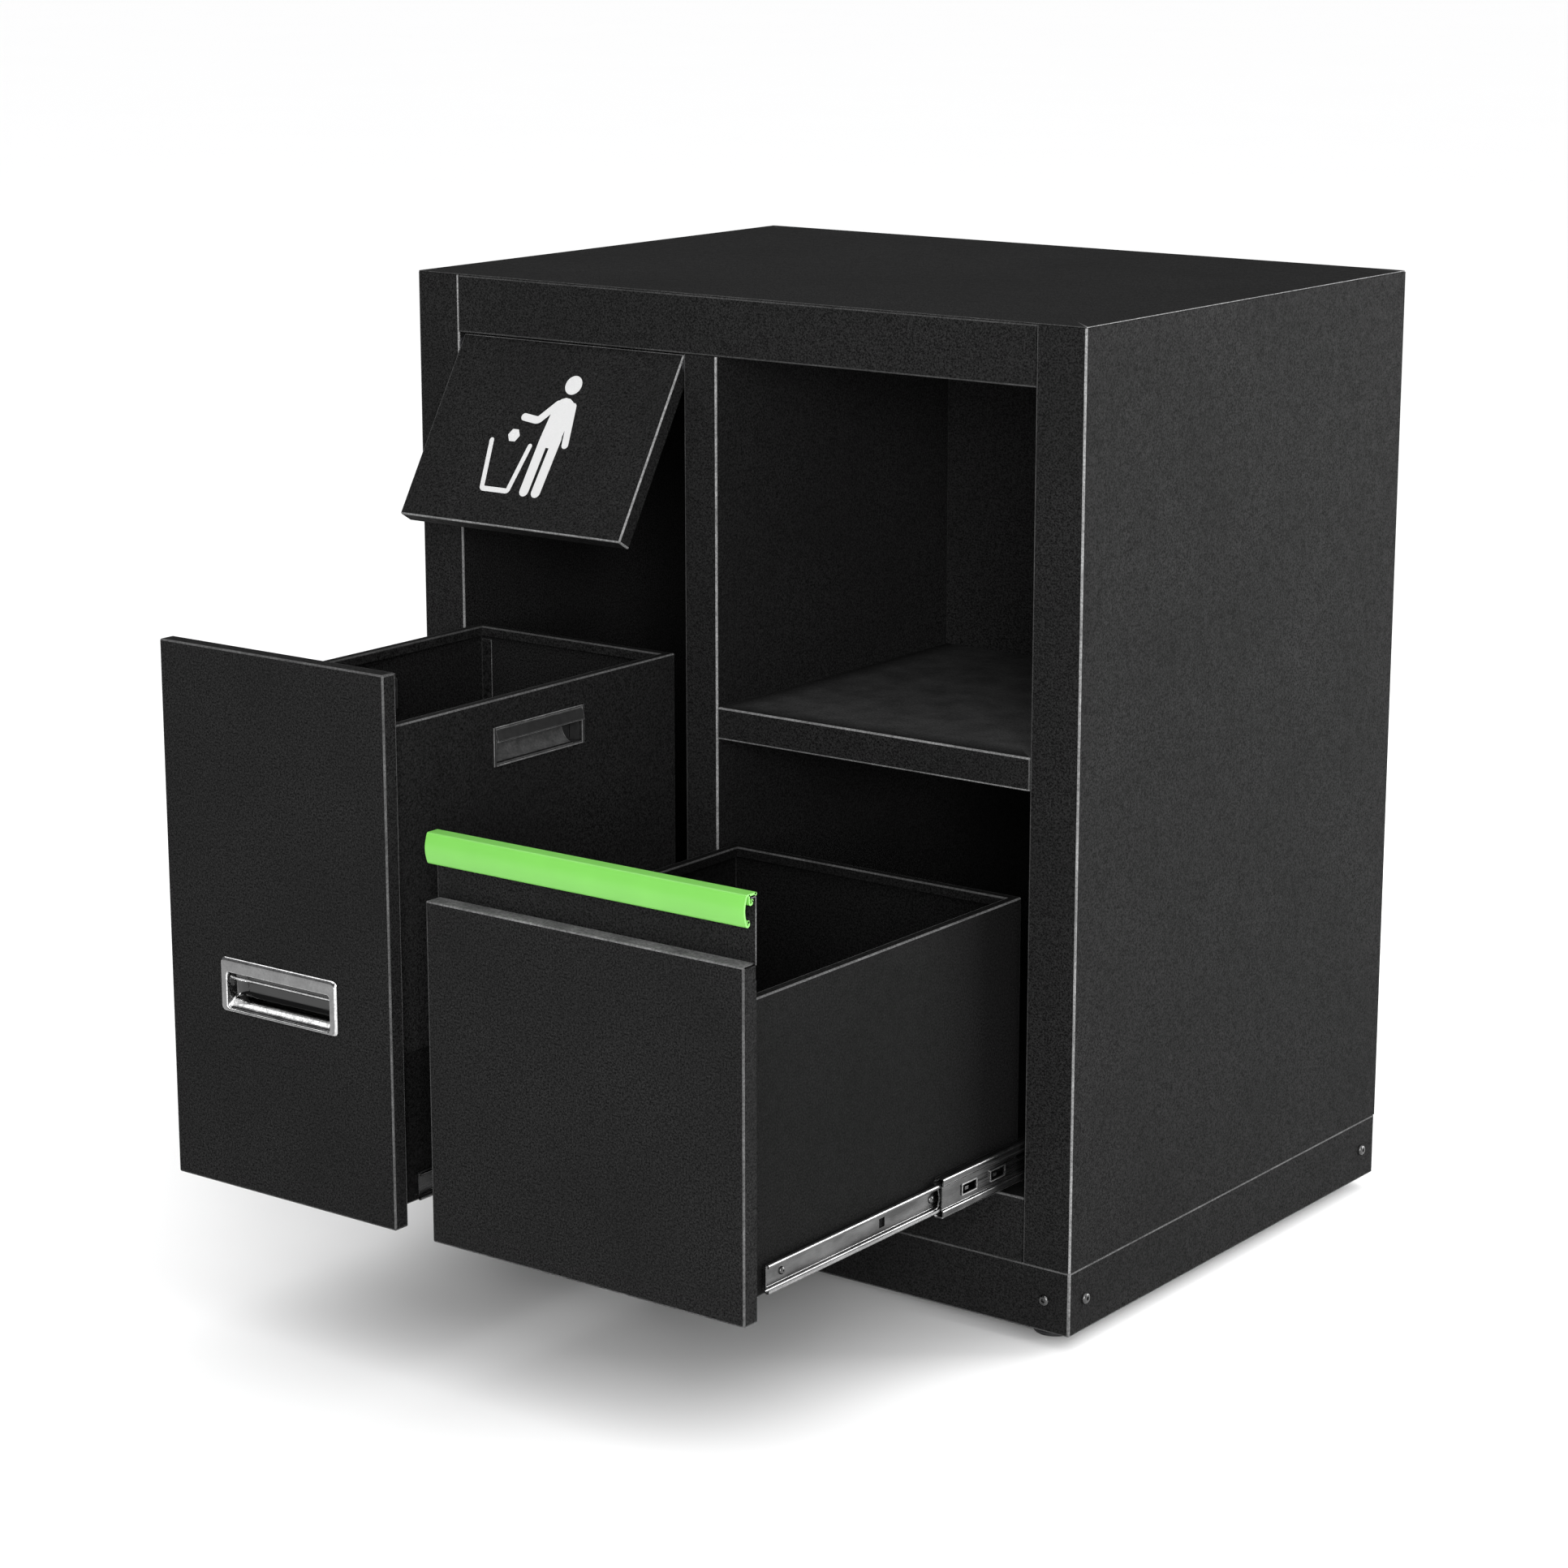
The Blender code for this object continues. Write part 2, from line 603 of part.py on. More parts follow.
def pressed_cup(name, loops, outward, finish):
    """A cup pressed from thin sheet, given from its floor to its rim; its show face looks outward."""
    bm = bmesh.new()
    shell_from_loops(bm, loops)
    bm.normal_update()
    bm.faces.ensure_lookup_table()
    floor = bm.faces[-1]
    if floor.normal.dot(outward) < 0:
        bmesh.ops.reverse_faces(bm, faces=bm.faces)
    return thicken(add_object(name, bm, finish), CUP_SHEET)


def rounded_rect(half_w, half_h, radius, steps=4):
    """Points of a rectangle with round corners, anticlockwise."""
    points = []
    for quarter, (sx, sz) in enumerate(((1, 1), (-1, 1), (-1, -1), (1, -1))):
        for i in range(steps + 1):
            a = math.pi / 2 * (quarter + i / steps)
            across = sx * (half_w - radius) + radius * math.cos(a)
            points.append((across, sz * (half_h - radius) + radius * math.sin(a)))
    return points


def make_recessed_pull(centre_x, finish):
    """A pressed cup: a flat rim standing proud of the front, and a scoop behind it."""
    half_w, half_h = PULL_SIZE[0] / 2, PULL_SIZE[1] / 2
    mouth = PULL_MOUTH
    rings = [  # half width, half height, corner radius, distance behind the front face, lift
        (half_w - 0.016, half_h - 0.016, 0.004, PULL_DEPTH, 0.002),
        (half_w - 0.011, half_h - 0.012, 0.006, PULL_DEPTH - 0.002, 0.001),
        (half_w - mouth, half_h - mouth - 0.001, 0.006, 0.0, 0.0),
        (half_w - mouth + 0.0008, half_h - mouth, 0.006, -PULL_PROUD, 0.0),
        (half_w - 0.0015, half_h - 0.0015, 0.0065, -PULL_PROUD, 0.0),
        (half_w, half_h, 0.007, -PULL_PROUD + 0.0013, 0.0),
        (half_w, half_h, 0.007, -GAP, 0.0),
    ]
    loops = []
    for w, h, radius, back, lift in rings:
        y, z = DRAWER_Y + back, PULL_CENTRE_Z + lift
        loops.append([(centre_x + a, y, z + b) for a, b in rounded_rect(w, h, radius)])
    pressed_cup("recessed_pull", loops, Vector((0, -1, 0)), finish)


def hemmed_box(name, x, y, z, finish):
    """An open box whose rim turns inwards and then down."""
    hem_x, hem_y = inset(x, HEM_WIDTH), inset(y, HEM_WIDTH)
    loops = [
        rect_loop("Z", z[0], x, y),
        rect_loop("Z", z[1], x, y),
        rect_loop("Z", z[1], hem_x, hem_y),
        rect_loop("Z", z[1] - HEM_DROP, hem_x, hem_y),
    ]
    return folded_box(name, loops, finish)


def make_bin(x, y, finish):
    """The lift-out bin, with a pressed grip let into each side."""
    base = BOX_BOTTOM + SHEET + GAP
    waste_bin = hemmed_box("waste_bin", x, y, (base, BIN_TOP), finish["black"])
    centre_y = sum(y) / 2
    hole = (GRIP_SIZE[0] / 2 - RIM_SETBACK, GRIP_SIZE[1] / 2 - RIM_SETBACK)
    centre_z = GRIP_TOP - GRIP_SIZE[1] / 2
    for side, sign, wall in (("left", -1, x[0]), ("right", 1, x[1])):
        cutter = cutter_block(
            f"bin_{side}_cutout",
            (wall - 0.004, wall + 0.004),
            (centre_y - hole[0], centre_y + hole[0]),
            (centre_z - hole[1], centre_z + hole[1]),
        )
        cut(waste_bin, cutter)
        make_grip(f"bin_grip_{side}", wall, sign, centre_y, centre_z, finish["black"])


def make_grip(name, wall, sign, centre_y, centre_z, finish):
    """A pressed scoop in a flat rim, closed at its back so nothing drops out of the bin."""
    half_w, half_h = GRIP_SIZE[0] / 2, GRIP_SIZE[1] / 2
    rings = [  # half width, half height, distance inwards from the wall's outer face, lift
        (half_w - 0.010, half_h - 0.011, GRIP_DEPTH, 0.005),
        (half_w - 0.006, half_h - 0.006, GRIP_DEPTH * 0.5, 0.001),
        (half_w - 0.005, half_h - 0.005, -GAP - SHEET, 0.0),
        (half_w, half_h, -GAP - SHEET, 0.0),
    ]
    loops = []
    for w, h, depth, lift in rings:
        at = wall - sign * depth
        span_z = (centre_z + lift - h, centre_z + lift + h)
        loops.append(rect_loop("X", at, (centre_y - w, centre_y + w), span_z))
    pressed_cup(name, loops, Vector((sign, 0, 0)), finish)


# ---- Paper drawer ----
def make_paper_drawer(finish):
    """The wide front with its green profile, and the open box behind it."""
    x = PAPER_X
    make_paper_front(x, finish["black"])
    make_profile(x, finish["green"])
    box_x = (DIVIDER_RIGHT + SLIDE_STACK + GAP, RIGHT_WALL - SLIDE_STACK - GAP)
    box_y = (DRAWER_Y + PAPER_FLANGE + GAP, DRAWER_Y + PAPER_FLANGE + BOX_LENGTH)
    hemmed_box("paper_drawer_box", box_x, box_y, (BOX_BOTTOM, PAPER_BOX_TOP), finish["black"])


def make_paper_front(x, finish):
    """A pan whose top flange is a ledge, with a plate rising from the ledge's back edge.

    The plate's head turns forwards to carry the green profile.
    """
    y, back = DRAWER_Y, DRAWER_Y + PAPER_FLANGE
    plate_y = back - SHEET
    bm = bmesh.new()
    near = [bm.verts.new(p) for p in rect_loop("Y", y, x, (FRONT_BOTTOM, PAPER_LEDGE))]
    far = [bm.verts.new(p) for p in rect_loop("Y", back, x, (FRONT_BOTTOM, PAPER_LEDGE))]
    for corner in far[2:]:
        corner.co.y = plate_y
    bm.faces.new(near)
    for i in range(4):
        j = (i + 1) % 4
        bm.faces.new((near[j], near[i], far[i], far[j]))
    head = [bm.verts.new((a, plate_y, PAPER_PLATE_TOP)) for a in x]
    lip = [bm.verts.new((a, plate_y - PLATE_LIP, PAPER_PLATE_TOP)) for a in x]
    bm.faces.new((far[3], far[2], head[1], head[0]))
    bm.faces.new((head[0], head[1], lip[1], lip[0]))
    front = add_object("paper_drawer_front", bm, finish)
    thicken(front)


def make_profile(x, finish):
    """An extruded rail: a top plate, a bowed front that curls back at its foot, and an inner hook."""
    back = DRAWER_Y + PAPER_FLANGE + GAP
    front = DRAWER_Y + PROFILE_SETBACK
    top, wall = PROFILE_TOP, PROFILE_WALL
    foot = top - PROFILE_HEIGHT
    deepest = front + PROFILE_BOW
    bowed, inside = [], []
    for i in range(1, BOW_STEPS):
        t = i / BOW_STEPS
        z = top - 0.002 - (PROFILE_HEIGHT - 0.003) * t
        y = deepest - PROFILE_BOW * math.sin(math.pi * t)
        bowed.append((y, z))
        inside.append((y + wall, z))
    curl = [
        (deepest + 0.0012, foot),
        (deepest + 0.0042, foot + 0.0003),
        (deepest + 0.0046, foot + 0.0028),
        (deepest + 0.0034, foot + 0.0034),
    ]
    hook = [
        (front + 0.0062, top - wall),
        (front + 0.0062, top - 0.0088),
        (front + 0.0074, top - 0.0102),
        (front + 0.0092, top - 0.0096),
        (front + 0.0086, top - 0.0078),
        (front + 0.0078, top - 0.0074),
        (front + 0.0078, top - wall),
    ]
    section = [(back, top), (deepest + 0.0012, top), *bowed, *curl, *inside[::-1]]
    section += [(deepest + wall, top - wall), *hook, (back, top - wall)]
    bm = bmesh.new()
    ends = [[bm.verts.new((a, y, z)) for y, z in section] for a in x]
    count = len(section)
    for i in range(count):
        j = (i + 1) % count
        bm.faces.new((ends[0][i], ends[0][j], ends[1][j], ends[1][i]))
    bm.faces.new(ends[0])
    bm.faces.new(ends[1])
    bmesh.ops.recalc_face_normals(bm, faces=bm.faces)
    obj = add_object("green_handle", bm, finish)
    obj.data.shade_smooth()
    obj.data.set_sharp_from_angle(angle=math.radians(35))


def main():
    for obj in list(bpy.data.objects):
        bpy.data.objects.remove(obj)
    finish = make_materials()
    make_case(finish)
    make_plinth(finish)
    make_feet(finish)
    make_divider(finish["black"])
    make_shelf(finish["black"])
    make_slides("waste", LEFT_WALL, DIVIDER_LEFT, finish["zinc"])
    make_slides("paper", DIVIDER_RIGHT, RIGHT_WALL, finish["zinc"])
    make_flap(finish)
    make_waste_drawer(finish)
    make_paper_drawer(finish)


main()
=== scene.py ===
"""Finished surfaces, finishes, light and camera for a two-stream waste cabinet.

The working model gives every body, joint and size. Each folded sheet, pressing, slide member and
fastener is then made again here with its bends, hems and rolled edges, and rides on the same body.
"""

import json
import math

import bpy
import numpy as np
from bpy.props import FloatProperty, FloatVectorProperty, IntProperty, PointerProperty
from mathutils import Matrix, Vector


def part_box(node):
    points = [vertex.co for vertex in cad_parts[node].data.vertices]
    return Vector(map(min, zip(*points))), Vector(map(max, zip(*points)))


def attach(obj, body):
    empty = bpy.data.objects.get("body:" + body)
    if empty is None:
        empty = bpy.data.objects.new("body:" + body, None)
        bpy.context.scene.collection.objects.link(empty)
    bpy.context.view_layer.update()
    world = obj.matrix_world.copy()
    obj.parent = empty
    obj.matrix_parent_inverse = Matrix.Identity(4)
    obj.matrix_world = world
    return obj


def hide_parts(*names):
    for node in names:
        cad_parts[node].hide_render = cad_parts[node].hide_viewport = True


bl_info = {
    "name": "Waste Sorting Cabinet",
    "version": (1, 0, 0),
    "blender": (4, 5, 0),
    "location": "3D View > Sidebar > Cabinet",
    "description": "Builds the finished surfaces of a waste cabinet round its working model",
    "category": "Object",
}

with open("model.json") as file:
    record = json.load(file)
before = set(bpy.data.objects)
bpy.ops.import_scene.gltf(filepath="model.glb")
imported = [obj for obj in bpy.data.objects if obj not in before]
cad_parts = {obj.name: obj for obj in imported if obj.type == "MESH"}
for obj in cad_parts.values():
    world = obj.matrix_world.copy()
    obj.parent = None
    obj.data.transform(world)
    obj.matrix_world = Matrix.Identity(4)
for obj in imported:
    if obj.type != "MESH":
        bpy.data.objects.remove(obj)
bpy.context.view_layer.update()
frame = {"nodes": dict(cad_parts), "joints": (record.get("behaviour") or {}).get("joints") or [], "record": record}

MM = 0.001
SIDES = {"left": 1, "right": -1}  # the way from a bay's wall into the bay
GAP = 0.3 * MM
SHEET = 1.0 * MM
GUARD = 0.25 * MM  # flat strip beside a bend, which keeps the bend's shading off the flat


# ---- Places read from the working model ----
def corners(name):
    """Lowest and highest corner of a node at rest, as arrays."""
    low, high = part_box(name)
    return np.array(low), np.array(high)


def joint(name):
    """A joint's record, by its name."""
    return next(j for j in frame["joints"] if j["name"] == name)


CASE_LOW = corners("top_panel")[0]
FACE = CASE_LOW[1]  # the cabinet's front face
LEFT_WALL = corners("left_side_panel")[1][0]
RIGHT_WALL = corners("right_side_panel")[0][0]
DRAWER_FACE = corners("waste_drawer_front")[0][1]


# ---- Outlines ----
def unit(vector):
    """A vector made one long."""
    return vector / np.linalg.norm(vector)


def rounded_path(points, radius, closed=False, steps=5, guard=GUARD):
    """A polyline with an arc in place of each corner.

    An arc touches both sides of its corner: its centre lies on the corner's bisector, at the radius
    over the sine of half the corner's angle, and its points turn evenly between the two touching
    points. A guard point follows on the straight at each end.
    """
    points = np.asarray(points, float)
    count = len(points)
    made = []
    for i in range(count):
        here = points[i]
        if not closed and i in (0, count - 1):
            made.append(here[None])
            continue
        before, after = points[i - 1] - here, points[(i + 1) % count] - here
        a, b = unit(before), unit(after)
        half = math.acos(np.clip(a @ b, -1, 1)) / 2
        turn = math.pi - 2 * half
        if turn < 0.01:
            made.append(here[None])
            continue
        room = 0.45 * min(np.linalg.norm(before), np.linalg.norm(after))
        reach = min(radius / math.tan(half), room)
        centre = here + unit(a + b) * reach / math.cos(half)
        start, end = here + a * reach - centre, here + b * reach - centre
        t = np.linspace(0, 1, steps + 1)[:, None]
        arc = centre + (np.sin((1 - t) * turn) * start + np.sin(t * turn) * end) / math.sin(turn)
        made += [(here + a * (reach + guard))[None], arc, (here + b * (reach + guard))[None]]
    return np.concatenate(made)


def rounded_rect(half_w, half_h, radius, across=(), up=(), steps=5):
    """Points anticlockwise round a rectangle with quarter circles at its corners.

    across and up are further points along its level and upright sides, from the centre.
    """
    flat_w, flat_h = half_w - radius, half_h - radius
    level = np.clip([GUARD - flat_w, *across, flat_w - GUARD], -flat_w, flat_w)
    upright = np.clip([GUARD - flat_h, *up, flat_h - GUARD], -flat_h, flat_h)
    turn = np.linspace(0, math.pi / 2, steps + 1)
    quarter = np.stack([np.cos(turn), np.sin(turn)], -1) * radius
    flip = quarter[::-1]
    return np.concatenate([
        np.stack([np.full(len(upright), half_w), upright], -1),
        quarter + [flat_w, flat_h],
        np.stack([level[::-1], np.full(len(level), half_h)], -1),
        flip * [-1, 1] + [-flat_w, flat_h],
        np.stack([np.full(len(upright), -half_w), upright[::-1]], -1),
        -quarter - [flat_w, flat_h],
        np.stack([level, np.full(len(level), -half_h)], -1),
        flip * [1, -1] + [flat_w, -flat_h],
    ])


def circle(radius, steps=32):
    """Points anticlockwise round a circle, from its right-hand end."""
    turn = np.arange(steps) * 2 * math.pi / steps
    return np.stack([np.cos(turn), np.sin(turn)], -1) * radius


def ribbon(path, width, steps=6):
    """The outline of a strip with round ends: its middle line moved half the width to each side."""
    path = np.asarray(path, float)
    along = np.gradient(path, axis=0)
    along /= np.linalg.norm(along, axis=1)[:, None]
    side = np.stack([-along[:, 1], along[:, 0]], -1) * width / 2
    t = np.linspace(0, math.pi, steps + 2)[1:-1, None]
    end = path[-1] + np.cos(t) * side[-1] + np.sin(t) * along[-1] * width / 2
    start = path[0] - np.cos(t) * side[0] - np.sin(t) * along[0] * width / 2
    return np.concatenate([path + side, end, (path - side)[::-1], start])


def placed(axis, a, b, along):
    """Points from two coordinates across an axis, in X, Y, Z order, and one along it."""
    a, b, along = np.broadcast_arrays(a, b, along)
    order = {"X": (along, a, b), "Y": (a, along, b), "Z": (a, b, along)}
    return np.stack(order[axis], -1)


# ---- Surfaces ----
def bends(path, closed=False):
    """1 at each point where a path turns by more than three degrees, and 0 elsewhere."""
    along = np.diff(np.concatenate([path[-1:], path, path[:1]]), axis=0)
    along /= np.maximum(np.linalg.norm(along, axis=1), 1e-9)[:, None]
    turning = np.sum(along[1:] * along[:-1], axis=1) < math.cos(math.radians(3))
    if not closed:
        turning[[0, -1]] = False
    return turning.astype(float)


def sharpen_rims(mesh):
    """Marks the edges that have one face, so that a rim's shading stays off the flat beside it."""
    used = np.zeros(len(mesh.loops), int)
    mesh.loops.foreach_get("edge_index", used)
    sharp = np.zeros(len(mesh.edges), bool)
    mesh.edges.foreach_get("use_edge_sharp", sharp)
    sharp |= np.bincount(used, minlength=len(mesh.edges)) == 1
    mesh.edges.foreach_set("use_edge_sharp", sharp)


def surface(name, grid, finish, wrap=False, caps=(), show="out", windows=(), turn=None, worn=None):
    """A mesh from a grid of points, with a quad between each four neighbours.

    wrap joins the last column to the first. caps closes the first or last row with one face.
    windows are boxes, and quads centred in one are left out. The faces look away from the middle
    of the piece, or towards it where show is "in". The last argument gives each point how pale its
    coat is painted: partly wear, partly painted highlight.
    """
    rows, cols = grid.shape[:2]
    points = grid.reshape(-1, 3)
    i, j = np.meshgrid(np.arange(rows - 1), np.arange(cols if wrap else cols - 1), indexing="ij")
    k = (j + 1) % cols
    quads = np.stack([i * cols + j, i * cols + k, (i + 1) * cols + k, (i + 1) * cols + j], -1)
    quads = quads.reshape(-1, 4)
    for low, high in windows:
        centres = points[quads].mean(1)
        quads = quads[~np.all((centres > low) & (centres < high), axis=1)]
    lasts = {"first": np.arange(cols)[::-1], "last": np.arange(cols) + (rows - 1) * cols}
    a, b, c, d = (points[quads[:, n]] for n in range(4))
    normal = np.cross(c - a, d - b)
    outward = np.sum(normal * ((a + b + c + d) / 4 - points.mean(0)))
    for cap in caps:
        ring = points[lasts[cap]]
        area = np.sum(np.cross(ring, np.roll(ring, -1, 0)), 0)
        outward += area @ (ring.mean(0) - points.mean(0))
    faces = [*quads.tolist(), *(lasts[cap].tolist() for cap in caps)]
    if (outward < 0) == (show == "out"):
        faces = [face[::-1] for face in faces]
    if turn:
        points = turn(points)
    mesh = bpy.data.meshes.new(name)
    mesh.from_pydata(points.tolist(), [], faces)
    mesh.materials.append(finish)
    mesh.shade_smooth()
    mesh.set_sharp_from_angle(angle=math.radians(38))
    sharpen_rims(mesh)
    # A value per point by which the coat is painted pale: partly wear, partly painted highlight.
    if worn is not None:
        values = np.broadcast_to(worn, (rows, cols)).ravel()
        mesh.attributes.new("worn", "FLOAT", "POINT").data.foreach_set("value", values)
    piece = bpy.data.objects.new(name, mesh)
    bpy.context.collection.objects.link(piece)
    return piece


def walled(piece, wall=SHEET, offset=-1.0, even=True):
    """Gives a sheet its thickness, behind the faces that show. A tight pressing's is not evened."""
    made = piece.modifiers.new("wall", "SOLIDIFY")
    made.thickness = wall
    made.offset = offset
    made.use_even_offset = even
    made.use_quality_normals = True
    return piece


def raise_wear_and_highlight(piece, low, high, amount):
    """Raises, inside a box, the value by which the points' coat is painted pale: wear and painted highlight."""
    mesh = piece.data
    points = np.zeros(len(mesh.vertices) * 3, np.float32)
    mesh.vertices.foreach_get("co", points)
    points = points.reshape(-1, 3)
    inside = np.all((points > low) & (points < high), axis=1)
    worn = np.zeros(len(points), np.float32)
    mesh.attributes["worn"].data.foreach_get("value", worn)
    worn[inside] = np.maximum(worn[inside], amount)
    mesh.attributes["worn"].data.foreach_set("value", worn)


def bent_sheet(
    name, points, axis, span, finish,
    radius=None, stations=(), wall=SHEET, offset=-1.0, edge=0.0, fold_highlight=1.0, **more,
):
    """A sheet folded along straight lines: a path with rounded corners, carried along an axis.

    Grid point (u, v) is point u of the path, moved to station v. Upright folds on the right are
    painted palest, a painted highlight where the light falls. edge is how pale the sheet's two cut
    ends are painted, and the fold share is the part of the painted wear and highlight that its folds take.
    """
    radius = bpy.context.scene.cabinet_sheet.bend_radius if radius is None else radius
    path = rounded_path(points, radius)
    start, stop = sorted(span)
    along = np.array([start, start + GUARD, *sorted(stations), stop - GUARD, stop])
    grid = placed(axis, path[:, None, 0], path[:, None, 1], along[None])
    ends = np.where((along == start) | (along == stop), edge, 0.0)
    # Painted highlight: upright folds on the right, where the light falls, are painted palest.
    share = np.where(path[:, 0] > path[:, 0].mean(), 1.0, 0.2) if axis == "Z" else 0.4
    worn = np.maximum((bends(path) * share * fold_highlight)[:, None], ends[None])
    return walled(surface(name, grid, finish, worn=worn, **more), wall, offset)


def pan(
    name, axis, centre, half, fold, corner, finish,
    across=(), up=(), wall=SHEET, wear=(1.0, 0.35, 0.2, 0.5), corner_wear=0.8, inner=None, **more,
):
    """A pressed or folded pan: a path of (inset, place along the axis) carried round a rectangle.

    Grid point (u, v) is point v of the rectangle drawn in by the inset of point u of the fold. inner
    is one more loop, at the rim of an opening. The side values say how pale the folds are painted
    along the right, far, left and near sides, wear and painted highlight, brightest where the light
    falls; a point takes the value of the side nearest to it. The corner share is the part of it that
    the upright corners take.
    """
    fold = np.asarray(fold)
    loops = []
    for inset, along in fold:
        loop = rounded_rect(half[0] - inset, half[1] - inset, max(corner - inset, 0.4 * MM), across, up)
        loops.append(placed(axis, loop[:, 0] + centre[0], loop[:, 1] + centre[1], along))
    base = rounded_rect(*half, corner, across, up)
    nearest = np.argmin(np.concatenate([half - base, half + base], 1), axis=1)
    # Painted highlight: each side's folds are painted pale by its own value, most on the lit right.
    share = np.array(wear)[nearest]
    outside = fold[:, :1] < MM
    worn = np.maximum(bends(fold)[:, None] * share, outside * bends(base, closed=True) * share * corner_wear)
    if inner is not None:
        loops.append(inner)
        worn = np.concatenate([worn, np.zeros((1, len(base)))])
    piece = surface(name, np.stack(loops), finish, wrap=True, worn=worn, **more)
    return walled(piece, wall) if wall else piece


def ring(name, axis, centre, half, corner, width, span, finish):
    """A flat frame round a window: a rectangular section carried round a rounded rectangle."""
    fold = [(0, span[0]), (0, span[1]), (width, span[1]), (width, span[0]), (0, span[0])]
    # Painted highlight: every fold of the frame is painted fully pale.
    return pan(name, axis, centre, half, fold, corner, finish, wall=0, wear=(1, 1, 1, 1))


def prism(name, outline, axis, span, finish, **more):
    """A closed outline carried along an axis and closed at both ends."""
    grid = placed(axis, outline[None, :, 0], outline[None, :, 1], np.array(span)[:, None])
    return surface(name, grid, finish, wrap=True, caps=("first", "last"), worn=0.0, **more)


def turned(name, profile, base, axis, finish, steps=32, caps=("first", "last"), **more):
    """A turned piece: each (place along the axis, radius) of a profile swept round the axis."""
    profile = np.asarray(profile, float)
    a, b = circle(1, steps).T[:, None]
    grid = placed(axis, a * profile[:, 1:], b * profile[:, 1:], profile[:, :1])
    return surface(name, grid + np.asarray(base, float), finish, wrap=True, caps=caps, **more)


def fitted(piece, body, slot, *nodes):
    """Puts a piece on its body and hides the nodes it stands for. slot is not used."""
    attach(piece, body)
    if nodes:
        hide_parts(*nodes)
    return piece


def middle(low, high):
    """The centre of a box and its half sizes."""
    return (low + high) / 2, (high - low) / 2


# ---- Finishes ----
def linear(colour):
    """An sRGB hex colour as linear RGB."""
    parts = np.array([int(colour[i:i + 2], 16) for i in (1, 3, 5)]) / 255
    return np.where(parts <= 0.04045, parts / 12.92, ((parts + 0.055) / 1.055) ** 2.4).tolist()


def add(tree, kind, settings=None, links=None):
    """Adds a node, sets its properties or inputs by name, and links other nodes' outputs to it."""
    made = tree.nodes.new(kind)
    for key, value in (settings or {}).items():
        if isinstance(key, str) and hasattr(made, key):
            setattr(made, key, value)
        else:
            made.inputs[key].default_value = value
    for key, source in (links or {}).items():
        tree.links.new(source, made.inputs[key])
    return made


def started(name, roughness, metallic=0.0, **sockets):
    """A new material's node tree, shader and object coordinates."""
    made = bpy.data.materials.new(name)
    made.use_nodes = True
    tree = made.node_tree
    shader = tree.nodes["Principled BSDF"]
    shader.inputs["Roughness"].default_value = roughness
    shader.inputs["Metallic"].default_value = metallic
    for key, value in sockets.items():
        shader.inputs[key.replace("_", " ")].default_value = value
    place = add(tree, "ShaderNodeTexCoord").outputs["Object"]
    return tree, shader, place


def noise(tree, place, size, detail=2.0, stretch=(1, 1, 1)):
    """Noise whose features are about a size in metres, drawn out along the axes by a stretch."""
    scale = [1 / (size * s) for s in stretch]
    spread = add(tree, "ShaderNodeMapping", {"Scale": scale}, {"Vector": place})
    settings = {"Scale": 1.0, "Detail": detail}
    return add(tree, "ShaderNodeTexNoise", settings, {"Vector": spread.outputs[0]}).outputs["Fac"]


def ranged(tree, value, low, high, start=0.3, end=0.7):
    """A value between start and end, spread from low to high."""
    settings = {"From Min": start, "From Max": end, "To Min": low, "To Max": high}
    return add(tree, "ShaderNodeMapRange", settings, {"Value": value}).outputs[0]


def blended(tree, factor, first, second):
    """The first colour where a factor is 0 and the second where it is 1."""
    made = add(tree, "ShaderNodeMix", {"data_type": "RGBA"}, {"Factor": factor})
    for key, colour in (("A", first), ("B", second)):
        socket = next(s for s in made.inputs if s.name == key and s.type == "RGBA")
        if isinstance(colour, bpy.types.NodeSocket):
            tree.links.new(colour, socket)
        else:
            socket.default_value = (*colour, 1.0)
    return next(s for s in made.outputs if s.type == "RGBA")


def mottled(tree, value, amount, colour, share):
    """A colour that turns by up to an amount towards a share of itself, where a value is high."""
    return blended(tree, ranged(tree, value, 0.0, amount), colour, [c * share for c in colour])


def product(tree, first, second):
    """Two values multiplied."""
    return add(tree, "ShaderNodeMath", {"operation": "MULTIPLY"}, {0: first, 1: second}).outputs[0]


def topped_up(tree, base, value, share):
    """A base with a share of a value added to it."""
    settings = {"operation": "MULTIPLY_ADD", 1: share}
    return add(tree, "ShaderNodeMath", settings, {0: value, 2: base}).outputs[0]


def wear_and_highlight_mask(tree, place, size):
    """How pale the coat is painted, for wear and painted highlight: the value of its folds and edges, in patches.
    """
    fold = add(tree, "ShaderNodeAttribute", {"attribute_name": "worn"}).outputs["Fac"]
    patchy = ranged(tree, noise(tree, place, size, 4.0), 0.5, 1.0)
    speckled = ranged(tree, noise(tree, place, 2 * MM, 2.0), 0.55, 1.25)
    return product(tree, fold, product(tree, patchy, speckled))


def joined(tree, shader, shade, roughness=None, relief=None):
    """Links a colour, a roughness, and a relief of (height, strength, depth), to the shader."""
    tree.links.new(shade, shader.inputs["Base Color"])
    if roughness is not None:
        tree.links.new(roughness, shader.inputs["Roughness"])
    if relief is not None:
        height, strength, depth = relief
        settings = {"Strength": strength, "Distance": depth}
        bump = add(tree, "ShaderNodeBump", settings, {"Height": height})
        tree.links.new(bump.outputs[0], shader.inputs["Normal"])


COAT_ROUGHNESS = 0.66


